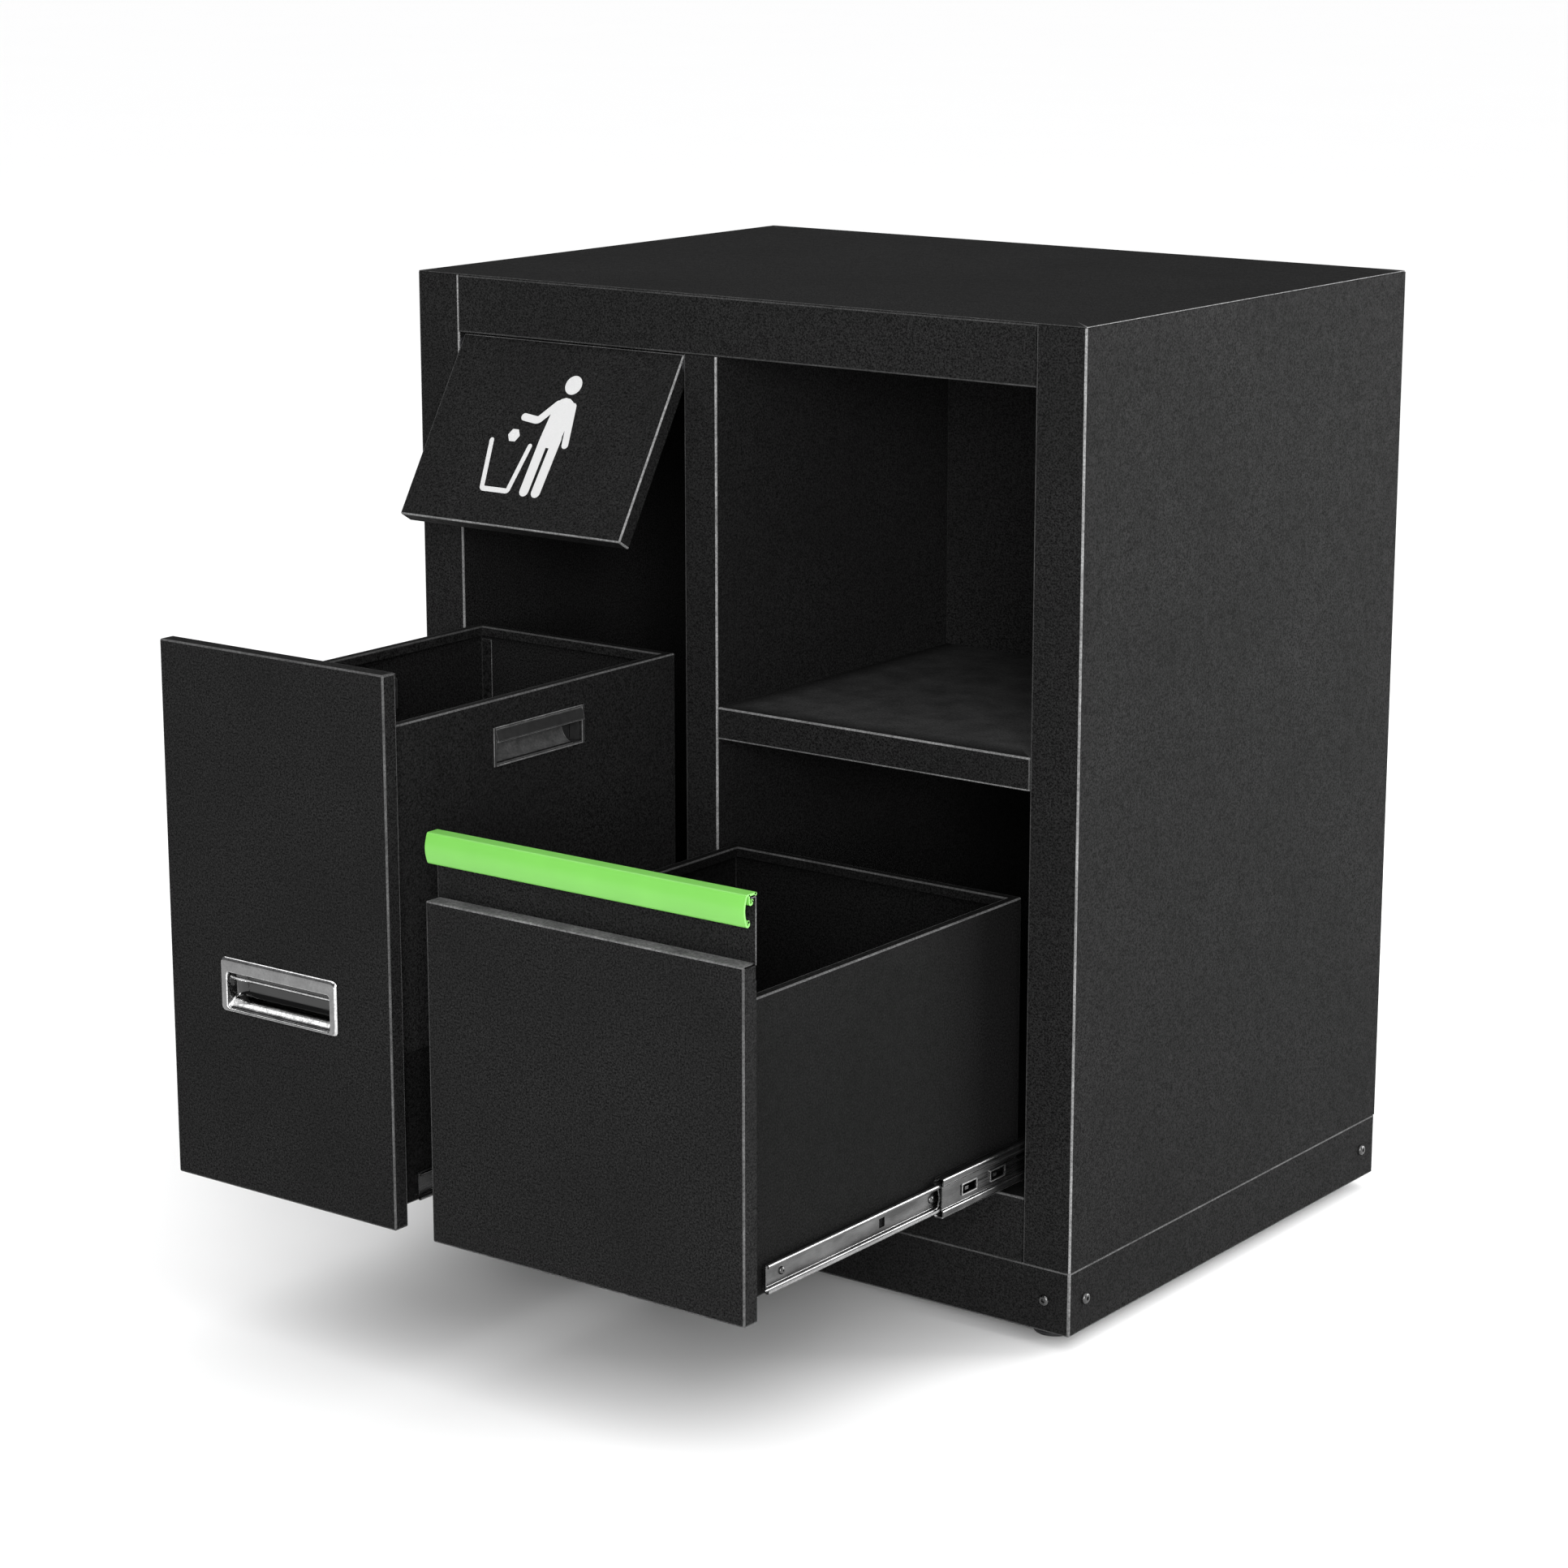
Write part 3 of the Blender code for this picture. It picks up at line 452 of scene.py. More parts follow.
def powder_coat(name, colour, specular):
    """Polyester powder sprayed on steel and baked, with a fine sand texture.

    The texture scatters light, so a flat shows a soft even sheen. Each fold is painted pale as a fine
    light line: partly the powder drawn thin and rubbed there, partly a painted highlight. Real grains
    are about 0.4 mm apart and are drawn at 1.6 mm, so that they show.
    """
    tree, shader, place = started(name, COAT_ROUGHNESS, Specular_IOR_Level=specular)
    grain = noise(tree, place, 1.6 * MM, 3.0)
    peel = noise(tree, place, 7 * MM)
    cloud = noise(tree, place, 120 * MM, 3.0)
    dust = ranged(tree, noise(tree, place, 2.2 * MM, 1.0), 0.0, 1.0, 0.79, 0.84)
    darker, lighter = ([c * share for c in colour] for share in (0.3, 2.3))
    shade = blended(tree, ranged(tree, grain, 0.0, 1.0, 0.35, 0.68), darker, lighter)
    shade = blended(tree, ranged(tree, cloud, 0.0, 0.35), shade, [c * 0.7 for c in colour])
    shade = blended(tree, dust, shade, [c * 3.5 for c in colour])
    # Painted highlight and wear: folds and edges turn pale grey, in patches.
    pale = wear_and_highlight_mask(tree, place, 30 * MM)
    shade = blended(tree, pale, shade, linear("#8c8c8c"))
    rough = ranged(tree, peel, COAT_ROUGHNESS - 0.06, COAT_ROUGHNESS + 0.08)
    height = topped_up(tree, grain, peel, 0.35)
    joined(tree, shader, shade, topped_up(tree, rough, pale, -0.18), (height, 0.55, 0.09 * MM))


def green_coat(colour):
    """Satin powder coat on an aluminium extrusion, whose die leaves faint lines along its length."""
    tree, shader, place = started("satin_coated_extrusion", 0.38, Specular_IOR_Level=0.45)
    lines = noise(tree, place, 0.8 * MM, 2.0, (160, 1, 1))
    shade = mottled(tree, noise(tree, place, 60 * MM, 2.0), 0.35, colour, 0.8)
    joined(tree, shader, shade, ranged(tree, lines, 0.33, 0.44), (lines, 0.25, 0.04 * MM))


def chrome_plate(name, colour):
    """Bright nickel and chrome plate on a zinc die casting: a mirror with faint handling marks, and painted
    highlights.

    A darker copy of it paints the shade deep in the pull's cup.
    """
    tree, shader, place = started(name, 0.09, 1.0)
    smear = noise(tree, place, 9 * MM, 4.0, (2, 1, 1))
    shade = mottled(tree, smear, 0.25, colour, 0.8)
    # Painted highlight: where a piece's pale value is set, the plate turns near white.
    shade = blended(tree, wear_and_highlight_mask(tree, place, 12 * MM), shade, linear("#f4f4f4"))
    joined(tree, shader, shade, ranged(tree, smear, 0.06, 0.18))


def zinc_plate(colour):
    """Bright zinc plate on cold-rolled strip: rolling streaks along its length, oil stains, and folds painted
    pale, partly wear and partly painted highlight.
    """
    tree, shader, place = started("zinc_plated_strip", 0.3, 1.0)
    streaks = noise(tree, place, 0.9 * MM, 3.0, (1, 60, 1))
    shade = mottled(tree, noise(tree, place, 16 * MM, 4.0, (1, 2.5, 1)), 0.9, colour, 0.32)
    # Painted highlight and wear: the strip's folds turn pale.
    shade = blended(tree, wear_and_highlight_mask(tree, place, 8 * MM), shade, linear("#cfcfcf"))
    joined(tree, shader, shade, ranged(tree, streaks, 0.20, 0.42), (streaks, 0.3, 0.03 * MM))


def moulded(name, colour, roughness):
    """Moulded rubber or nylon: an even dull skin with a faint spark-eroded grain."""
    tree, shader, place = started(name, roughness, Specular_IOR_Level=0.4)
    grain = noise(tree, place, 0.9 * MM, 2.0)
    joined(tree, shader, mottled(tree, grain, 0.5, colour, 1.6), relief=(grain, 0.4, 0.05 * MM))


def enamel(colour):
    """Satin black enamel dipped over a pressing, smoother than powder, so its curves catch the light. Its base is
    a little lighter than the case's coat, a painted sheen, and its pale value paints highlights.
    """
    tree, shader, place = started("satin_black_enamel", 0.34, Specular_IOR_Level=0.28)
    flow = noise(tree, place, 5 * MM, 3.0)
    shade = mottled(tree, flow, 0.5, colour, 1.7)
    # Painted highlight: where a piece's pale value is set, the enamel turns pale grey.
    shade = blended(tree, wear_and_highlight_mask(tree, place, 10 * MM), shade, linear("#9a9a9a"))
    joined(tree, shader, shade, ranged(tree, flow, 0.28, 0.42), (flow, 0.3, 0.05 * MM))


def print_ink(colour):
    """Screen-printed ink on the coat: nearly even white that sinks a little into the texture below."""
    tree, shader, place = started("screen_printed_ink", 0.6)
    grain = noise(tree, place, 1.5 * MM, 3.0)
    joined(tree, shader, mottled(tree, grain, 0.5, colour, 0.9), relief=(grain, 0.3, 0.05 * MM))


def finish(name):
    """A finish that has been made, by its name."""
    return bpy.data.materials[name]


# ---- Settings ----
def length(name, description, default, **more):
    """A setting that is a length in metres."""
    return FloatProperty(
        name=name, description=description, default=default, unit="LENGTH", subtype="DISTANCE", **more
    )


def tint(name, description, default):
    """A setting that is a colour, from its sRGB hex value."""
    return FloatVectorProperty(
        name=name, description=description, default=linear(default), subtype="COLOR", size=3, min=0, max=1
    )


def power(name, description, default):
    """A setting that is a light's power in watts."""
    return FloatProperty(name=name, description=description, default=default, min=0, unit="POWER")


class SheetSettings(bpy.types.PropertyGroup):
    """Folds and hems of the sheets"""

    bend_radius: length(
        "Bend Radius", "Outer radius of the folds in the case and fronts", 1.5 * MM, min=1.1 * MM
    )
    hem_width: length("Hem Width", "Width of the rim turned in round a box's mouth", 10 * MM)
    hem_drop: length("Hem Drop", "Height of the skirt turned down from a box's rim", 9 * MM)


class SlideSettings(bpy.types.PropertyGroup):
    """Strip and balls of the drawer slides"""

    strip: length("Strip", "Thickness of the strip that the slides are rolled from", 1.2 * MM)
    balls: IntProperty(name="Balls", description="Balls in each raceway of a cage", default=8, min=1)
    ball_pitch: length("Ball Pitch", "Distance between neighbouring balls", 9 * MM)


class FinishSettings(bpy.types.PropertyGroup):
    """Colours of the coats, plates and print"""

    black: tint("Black Coat", "Powder coat of the case, fronts and bin", "#181818")
    # Painted shade: a darker copy of the black coat, so that the boxes inside the drawers stay dark under the side
    # light.
    shaded_black: tint("Deep Black Coat", "Darker powder coat of the boxes inside the drawers", "#0e0e0e")
    green: tint("Green Coat", "Coat of the paper drawer's handle", "#69ae4a")
    # Darker than bright chrome, which paints shade into what the pull reflects.
    chrome: tint("Chrome", "Plate of the recessed pull", "#707070")
    zinc: tint("Zinc", "Plate of the slides and fasteners", "#6c6c6c")
    ink: tint("Ink", "Print on the flap", "#bebebe")


class StageSettings(bpy.types.PropertyGroup):
    """Floor colour and strengths of the lights"""

    floor: tint("Floor", "Colour of the studio floor", "#f2f2f2")
    overhead: FloatProperty(
        name="Overhead", description="Strength of the soft light from above", default=3.15, min=0
    )
    side: power("Side", "Power of the softbox at the cabinet's right side", 145.0)
    front: power("Front", "Power of the softbox before the cabinet", 170.0)
    low: power("Low", "Power of the low softbox before the openings", 230.0)


# ---- Case ----
def make_side(side):
    """One side of the case: outer wall, front post and inner skin, folded from one sheet."""
    low, high = corners(f"{side}_side_panel")
    outer, inner = (low[0], high[0]) if side == "left" else (high[0], low[0])
    section = [(outer, high[1]), (outer, low[1]), (inner, low[1]), (inner, high[1] - 4 * MM)]
    shell = bent_sheet(f"{side}_side_shell", section, "Z", (low[2], high[2]), finish("black_coat"))
    fitted(shell, "cabinet", "black_powder_coat", f"{side}_side_panel")


def make_roof():
    """The roof with its rolled edges, and the beam that hangs from its front between the posts."""
    low, high = corners("top_panel")
    centre, half = middle(low, high)
    fold = rounded_path([(0, high[2] - SHEET), (0, high[2]), (30 * MM, high[2])], 0.9 * MM)
    # Painted highlight: the roof's right edge, where the light falls, is painted palest.
    roof = pan(
        "roof_sheet", "Z", centre[:2], half[:2], fold, 2 * MM, finish("black_coat"),
        wall=0, wear=(1.0, 0.2, 0.2, 0.15), caps=("first", "last"),
    )
    fitted(roof, "cabinet", "black_powder_coat", "top_panel")
    top = high[2] - SHEET - 0.1 * MM
    section = [(low[1] + 20 * MM, top), (low[1], top), (low[1], low[2]), (low[1] + 20 * MM, low[2])]
    span = (LEFT_WALL + GAP, RIGHT_WALL - GAP)
    # Painted highlight: its folds take part of the pale line.
    beam = bent_sheet("header_beam", section, "X", span, finish("black_coat"), fold_highlight=0.4)
    fitted(beam, "cabinet", "black_powder_coat")


def make_floor():
    """The cabinet's floor, folded down at the front into the bottom rail."""
    low, high = corners("floor_panel")
    section = [(high[1], high[2]), (low[1], high[2]), (low[1], low[2])]
    floor = bent_sheet("floor_and_rail", section, "X", (low[0], high[0]), finish("black_coat"))
    fitted(floor, "cabinet", "black_powder_coat", "floor_panel")


def make_plinth():
    """The plinth: a wall round the case with a lip turned in at its head and its foot."""
    low, high = corners("plinth")
    centre, half = middle(low, high)
    lip = 22 * MM
    fold = rounded_path([(lip, low[2]), (0, low[2]), (0, high[2]), (lip, high[2])], 1.4 * MM)
    # Painted highlight on the plinth's folds and corners, palest on the right.
    plinth = pan(
        "plinth_ring", "Z", centre[:2], half[:2], fold, 2 * MM, finish("black_coat"),
        wear=(0.4, 0.25, 0.2, 0.3), corner_wear=2.0,
    )
    fitted(plinth, "cabinet", "black_powder_coat", "plinth")


SCREW_STEPS = 36
SOCKET_HALF = 1.75 * MM  # half the width of the screw's hexagon socket


def make_screw(name):
    """A button-head screw with a hexagon socket.

    The rings of the head are circles on a dome, then the hexagon's edge, its floor and a small cone.
    A hexagon's radius at an angle is its half width over the cosine of the angle to its nearest flat.
    """
    low, high = corners(name)
    centre = (low + high) / 2
    axis = int(np.argmax(high - low))
    outward = 1 if centre[axis] > 0 else -1
    seat = (high[axis] if outward > 0 else low[axis]) - outward * 3 * MM
    turn = np.arange(SCREW_STEPS) * 2 * math.pi / SCREW_STEPS
    hexagon = SOCKET_HALF / np.cos((turn + math.pi / 6) % (math.pi / 3) - math.pi / 6)
    dome = [(3.0 * math.sin(a), 5.3 * math.cos(a * 0.66)) for a in np.linspace(0.08, math.pi / 2, 9)]
    rings = [np.full(SCREW_STEPS, r * MM) for r in (5.0, *(r for _, r in dome))]
    rings += [hexagon * 1.08, hexagon, hexagon]
    depths = [0.0] + [h * MM for h, _ in dome] + [2.9 * MM, 2.7 * MM, 1.1 * MM]
    radius, depth = np.stack(rings), np.array(depths)[:, None]
    a, b = np.cos(turn) * radius, np.sin(turn) * radius
    letter = "XYZ"[axis]
    across = [centre[n] for n in range(3) if n != axis]
    grid = placed(letter, a + across[0], b + across[1], seat + outward * depth)
    head = surface(f"{name}_head", grid, finish("zinc_plated_strip"), wrap=True, caps=("first", "last"))
    fitted(head, "cabinet", "zinc_plate", name)


def make_foot(place):
    """A levelling foot: moulded pad, hexagon collar and threaded stud."""
    low, high = corners(f"foot_pad_{place}")
    x, y = ((low + high) / 2)[:2]
    pad = [
        (0.0, 16.5), (0.4, 18.2), (1.4, 19.0), (3.4, 19.0), (4.4, 18.4), (5.2, 16.5), (5.8, 12.0),
        (8.0, 8.5), (8.0, 7.5),
    ]
    pad = rounded_path(pad, 0.6, guard=0.05, steps=3)
    piece = turned(f"foot_{place}_pad", pad * MM, (x, y, 0), "Z", finish("moulded_nylon"), steps=48)
    fitted(piece, "cabinet", "black_nylon", f"foot_pad_{place}")
    make_stud(place, x, y)


def make_stud(place, x, y):
    """The stud: a radius that rises and falls with height minus the turn over its pitch."""
    low, high = corners(f"foot_stud_{place}")
    pitch, radius, collar_height = 1.25 * MM, 3.9 * MM, 4.6 * MM
    height = np.linspace(low[2] + collar_height, high[2], 130)[:, None]
    turn = np.arange(28)[None] * 2 * math.pi / 28
    wave = np.abs((height / pitch - turn / (2 * math.pi)) % 1 - 0.5) * 2
    r = radius - 0.55 * MM * wave
    grid = np.stack([x + r * np.cos(turn), y + r * np.sin(turn), np.broadcast_to(height, r.shape)], -1)
    zinc = finish("zinc_plated_strip")
    stud = surface(f"foot_{place}_thread", grid, zinc, wrap=True, caps=("first", "last"))
    fitted(stud, "cabinet", "zinc_plate", f"foot_stud_{place}")
    collar = rounded_path(circle(6.6 * MM, 6), 0.4 * MM, closed=True, steps=2) + [x, y]
    piece = prism(f"foot_{place}_collar", collar, "Z", (low[2], low[2] + collar_height), zinc)
    fitted(piece, "cabinet", "zinc_plate")


class CABINET_OT_case(bpy.types.Operator):
    """Folded sheets of the case, its plinth, screws and feet"""

    bl_idname = "cabinet.case"
    bl_label = "Case"

    def execute(self, context):
        for side in SIDES:
            make_side(side)
        make_roof()
        make_floor()
        make_plinth()
        for name in frame["nodes"]:
            if name.startswith("plinth_screw"):
                make_screw(name)
            if name.startswith("foot_pad"):
                make_foot(name.removeprefix("foot_pad_"))
        return {"FINISHED"}


# ---- Inner structure ----
def channel(low, high, front):
    """A section open to the back: forward from the back, across the front, and back again."""
    return [(low[0], high[1]), (low[0], front), (high[0], front), (high[0], high[1])]


def make_divider():
    """The partition's front face with its two skins, and the skins' upper ends behind the beam."""
    low, high = corners("divider_panel")
    beam = CASE_LOW[2] - GAP
    section = channel(low, high, low[1])
    shell = bent_sheet("divider_shell", section, "Z", (low[2], beam), finish("black_coat"))
    fitted(shell, "cabinet", "black_powder_coat", "divider_panel")
    section = channel(low, high, low[1] + 22 * MM)
    head = bent_sheet("divider_head", section, "Z", (beam, high[2]), finish("black_coat"), radius=0.9 * MM)
    fitted(head, "cabinet", "black_powder_coat")


SHELF_SHEEN = 0.16  # a painted sheen, even over the shelf's top, for the light it catches


def make_shelf():
    """The shelf: a pan upside down, with its edges folded down and then in."""
    low, high = corners("shelf")
    centre, half = middle(low, high)
    fold = rounded_path([(12 * MM, low[2]), (0, low[2]), (0, high[2]), (30 * MM, high[2])], 1.5 * MM)
    # Painted highlight: the shelf's front fold is painted palest.
    shelf = pan(
        "shelf_pan", "Z", centre[:2], half[:2], fold, 1.2 * MM, finish("black_coat"),
        wear=(0.4, 0.2, 0.2, 0.75), corner_wear=0.3, caps=("last",),
    )
    # Painted sheen: the shelf's top is painted a little pale.
    raise_wear_and_highlight(shelf, low + (2 * MM, 2 * MM, 28 * MM), high + MM, SHELF_SHEEN)
    fitted(shelf, "cabinet", "black_powder_coat", "shelf")


def make_compartment_back():
    """The back of the open compartment, with its side flanges folded away behind it."""
    low, high = corners("compartment_back")
    section, span = channel(low, high, low[1]), (low[2], high[2])
    # Its folds take only a little painted highlight.
    back = bent_sheet("compartment_back_sheet", section, "Z", span, finish("black_coat"), fold_highlight=0.15)
    fitted(back, "cabinet", "black_powder_coat", "compartment_back")


class CABINET_OT_inside(bpy.types.Operator):
    """Partition, shelf and the back of the open compartment"""

    bl_idname = "cabinet.inside"
    bl_label = "Inside"

    def execute(self, context):
        make_divider()
        make_shelf()
        make_compartment_back()
        return {"FINISHED"}


# ---- Slides ----
OUTER_SECTION = [(10.4, 18.9), (10.4, 22.2), (0.9, 22.2), (0.9, -22.2), (10.4, -22.2), (10.4, -18.9)]
MIDDLE_SECTION = [
    (11.6, 14.2), (11.6, 17.5), (3.2, 17.5), (3.2, 11.6), (4.9, 10.4), (4.9, 4.6), (4.9, -4.6), (4.9, -10.4),
    (3.2, -11.6), (3.2, -17.5), (11.6, -17.5), (11.6, -14.2),
]
INNER_SECTION = [
    (6.4, 9.6), (5.9, 12.2), (8.6, 12.4), (9.8, 10.2), (12.1, 9.0), (12.1, 4.2), (12.1, -4.2), (12.1, -9.0),
    (9.8, -10.2), (8.6, -12.4), (5.9, -12.2), (6.4, -9.6),
]
MIDDLE_WINDOWS = ((0.030, 0.052), (0.074, 0.096))  # from the member's front end
INNER_WINDOWS = ((0.163, 0.171), (0.330, 0.352))
INNER_SCREWS = (0.025, 0.240)  # from the inner member's front end
TAB_SETBACK = 18 * MM  # how far behind the working model's the inner member starts


class Slide:
    """Where one slide stands: the wall it is fixed to, the way into the bay, and its level."""

    def __init__(self, drawer, side):
        self.name = f"{drawer}_slide"
        self.drawer, self.side = drawer, side
        self.toward = SIDES[side]
        low, high = corners(f"{drawer}_slide_outer_{side}")
        self.wall = low[0] - GAP if side == "left" else high[0] + GAP
        self.level = (low[2] + high[2]) / 2

    def ends(self, member):
        """Where a member starts and stops; the inner one is trimmed so that its end tab stands clear."""
        low, high = corners(f"{self.name}_{member}_{self.side}")
        return low[1] + (TAB_SETBACK if member == "inner" else 0), high[1]

    def across(self, section):
        """A section in millimetres from the wall and the slide's level, at its place."""
        section = np.asarray(section, float) * MM
        return np.stack([self.wall + self.toward * section[:, 0], self.level + section[:, 1]], -1)

    def window(self, start, stop, height):
        """A box through the member's web between two places along it."""
        return (
            (self.wall - 20 * MM, start, self.level - height),
            (self.wall + 20 * MM, stop, self.level + height),
        )


def make_member(slide, member, section, body, windows=(), height=0.0):
    """A rolled member, with windows punched through its web."""
    start, stop = slide.ends(member)
    places = [(start + a, start + b) for a, b in windows]
    piece = bent_sheet(
        f"{slide.name}_{member}_{slide.side}_member", slide.across(section), "Y", (start, stop),
        finish("zinc_plated_strip"), radius=1.0 * MM, offset=0.0,
        wall=bpy.context.scene.cabinet_slides.strip, stations=[p for pair in places for p in pair],
        windows=[slide.window(a, b, height) for a, b in places],
    )
    fitted(piece, body, "zinc_plate", f"{slide.name}_{member}_{slide.side}")


def plate_outline(points, radius=0.5 * MM):
    """The outline of a small stamped plate, with its corners rounded."""
    return rounded_path(points, radius, closed=True, steps=3, guard=0.05 * MM)


def make_slide_tab(slide, tag):
    """The inner member's bent end tab, and the two screws that hold it to its drawer."""
    drawer, zinc = f"{slide.drawer}_drawer", finish("zinc_plated_strip")
    front = slide.ends("inner")[0]
    bent = slide.across([(9.0, 9.5), (12.6, 10.5), (12.6, -10.5), (9.0, -9.5)])
    span = (front + 0.1 * MM, front + 1.2 * MM)
    fitted(prism(f"slide_tab_{tag}", plate_outline(bent), "Y", span, zinc), drawer, "zinc_plate")
    head = [(0.0, 3.6), (0.5, 3.6), (1.3, 3.1), (1.8, 2.0), (1.9, 0.9), (0.9, 0.8)]
    out = slide.wall + slide.toward * 11.4 * MM
    profile = [(out - slide.toward * h * MM, r * MM) for h, r in head]
    for n, along in enumerate(INNER_SCREWS):
        place = (0, front + along, slide.level)
        screw = turned(f"slide_screw_{tag}_{n}", profile, place, "X", zinc, steps=20)
        fitted(screw, drawer, "zinc_plate")


def make_slide_stop(slide, tag):
    """The stop bent round the middle member's front end, and the end of its moulded ball cage."""
    rails = f"{slide.drawer}_middle_rails"
    nose = slide.ends("middle")[0]
    upper = [(9.0, 16.0), (12.0, 15.4), (12.0, 12.6), (9.6, 11.0), (7.4, 6.5)]
    hook = [*upper, (6.6, 0.0), *((depth, -level) for depth, level in reversed(upper))]
    line = ribbon(rounded_path(slide.across(hook), 1.6 * MM, steps=4), 1.1 * MM, steps=3)
    span = (nose - 1.2 * MM, nose + 7.5 * MM)
    stop = prism(f"slide_stop_{tag}", line, "Y", span, finish("zinc_plated_strip"))
    # Paints the stop's front end pale.
    raise_wear_and_highlight(stop, (-1, nose - 1.3 * MM, 0), (1, nose - 1.0 * MM, 1), 1.0)
    fitted(stop, rails, "zinc_plate")
    latch = slide.across([(8.4, 5.0), (7.2, 2.2), (7.2, -2.2), (8.4, -5.0)])
    line = ribbon(rounded_path(latch, 1.2 * MM, steps=3), 1.8 * MM, steps=3)
    span = (nose + 1.5 * MM, nose + 12 * MM)
    cage = prism(f"slide_cage_{tag}", line, "Y", span, finish("moulded_nylon"))
    fitted(cage, rails, "black_nylon")


def make_window_rims(slide, tag):
    """A raised rim round each window of the middle member, and the tongue lanced out of it."""
    rails, zinc = f"{slide.drawer}_middle_rails", finish("zinc_plated_strip")
    nose = slide.ends("middle")[0]
    face = slide.wall + slide.toward * 4.3 * MM
    span = (face - slide.toward * 0.2 * MM, face - slide.toward * 1.1 * MM)
    tongue = plate_outline(slide.across([(3.4, -1.6), (6.4, -1.2), (6.4, 1.2), (3.4, 1.6)]), 0.3 * MM)
    for n, (start, stop) in enumerate(MIDDLE_WINDOWS):
        centre = np.array([nose + (start + stop) / 2, slide.level])
        half = np.array([(stop - start) / 2 + 0.9 * MM, 5.4 * MM])
        rim = ring(f"slide_window_{tag}_{n}", "X", centre, half, 1.0 * MM, 1.2 * MM, span, zinc)
        fitted(rim, rails, "zinc_plate")
        place = nose + start + 4 * MM
        piece = prism(f"slide_tongue_{tag}_{n}", tongue, "Y", (place, place + 5 * MM), zinc)
        fitted(piece, rails, "zinc_plate")


BALL_RADIUS = 1.5 * MM
BALL_DEPTH = 8.6 * MM  # from the bay's wall
BALL_LEVEL = 15 * MM  # above and below the slide's level


def make_balls(slide):
    """Two rows of balls, above and below, in the gap between the middle and inner members.

    One ball's sphere is a grid of turn by tilt, and the row is that grid moved by whole pitches.
    """
    settings = bpy.context.scene.cabinet_slides
    turn, tilt = np.meshgrid(np.linspace(0, 2 * math.pi, 13)[:-1], np.linspace(-1.45, 1.45, 7))
    ball = np.stack([np.cos(turn) * np.cos(tilt), np.sin(tilt), np.sin(turn) * np.cos(tilt)], -1)
    start = slide.ends("middle")[0] + 12 * MM
    x = slide.wall + slide.toward * BALL_DEPTH
    steel = finish("chromed_die_casting")
    for sign, word in ((1, "upper"), (-1, "lower")):
        for n in range(settings.balls):
            grid = ball * BALL_RADIUS + [x, start + n * settings.ball_pitch, slide.level + sign * BALL_LEVEL]
            name = f"{slide.drawer}_{slide.side}_{word}_ball_{n}"
            piece = surface(name, grid, steel, wrap=True, caps=("first", "last"))
            fitted(piece, f"{slide.drawer}_middle_rails", "zinc_plate")


class CABINET_OT_slides(bpy.types.Operator):
    """Three-section slides of both drawers, with their tabs, stops and balls"""

    bl_idname = "cabinet.slides"
    bl_label = "Slides"

    def execute(self, context):
        for drawer in ("waste", "paper"):
            for side in SIDES:
                slide = Slide(drawer, side)
                tag, rails = f"{drawer}_{side}", f"{drawer}_middle_rails"
                make_member(slide, "outer", OUTER_SECTION, "cabinet")
                make_member(slide, "middle", MIDDLE_SECTION, rails, MIDDLE_WINDOWS, 4.6 * MM)
                make_member(slide, "inner", INNER_SECTION, f"{drawer}_drawer", INNER_WINDOWS, 4.2 * MM)
                make_slide_tab(slide, tag)
                make_slide_stop(slide, tag)
                make_window_rims(slide, tag)
                make_balls(slide)
        return {"FINISHED"}


# ---- Flap ----
FLAP_HEIGHT = 186 * MM
FLAP_FLANGE = 15 * MM
INK = 0.15 * MM
HINGE = joint("flap_hinge")


def opened(points):
    """Points of the closed flap, turned about its hinge to where it stands open."""
    angle = math.radians(HINGE["range_deg"][0])
    centre = np.array(HINGE["pos_m"])
    y, z = (points - centre)[:, 1], (points - centre)[:, 2]
    turned_y = y * math.cos(angle) - z * math.sin(angle)
    turned_z = y * math.sin(angle) + z * math.cos(angle)
    return np.stack([points[:, 0], turned_y + centre[1], turned_z + centre[2]], -1)


def flap_top():
    """Height of the closed flap's upper edge, which stands half a flange above its hinge."""
    return HINGE["pos_m"][2] + FLAP_FLANGE / 2


def make_flap():
    """A shallow pan, drawn closed and then turned open."""
    low, high = corners("flap_panel")
    centre = ((low[0] + high[0]) / 2, flap_top() - FLAP_HEIGHT / 2)
    half = ((high[0] - low[0]) / 2, FLAP_HEIGHT / 2)
    fold = rounded_path([(0, FACE + FLAP_FLANGE), (0, FACE), (30 * MM, FACE)], 1.3 * MM)
    # Painted highlight: the flap's right and lower folds are painted palest.
    flap = pan(
        "flap_pan", "Y", centre, np.array(half), fold, 1.6 * MM, finish("black_coat"),
        wear=(1.0, 0.45, 0.2, 0.9), caps=("last",), turn=opened,
    )
    fitted(flap, "flap", "black_powder_coat", "flap_panel")


def print_mark(name, outline, layer):
    """A patch of ink on the flap's face, drawn in millimetres from the middle of its top edge."""
    low, high = corners("flap_panel")
    outline = np.asarray(outline) * MM + [(low[0] + high[0]) / 2, flap_top()]
    top = FACE - INK - layer * 0.02 * MM
    ink, span = finish("screen_printed_ink"), (FACE - 0.02 * MM, top)
    piece = prism(f"flap_print_{name}", outline, "Y", span, ink, turn=opened)
    fitted(piece, "flap", "black_powder_coat")


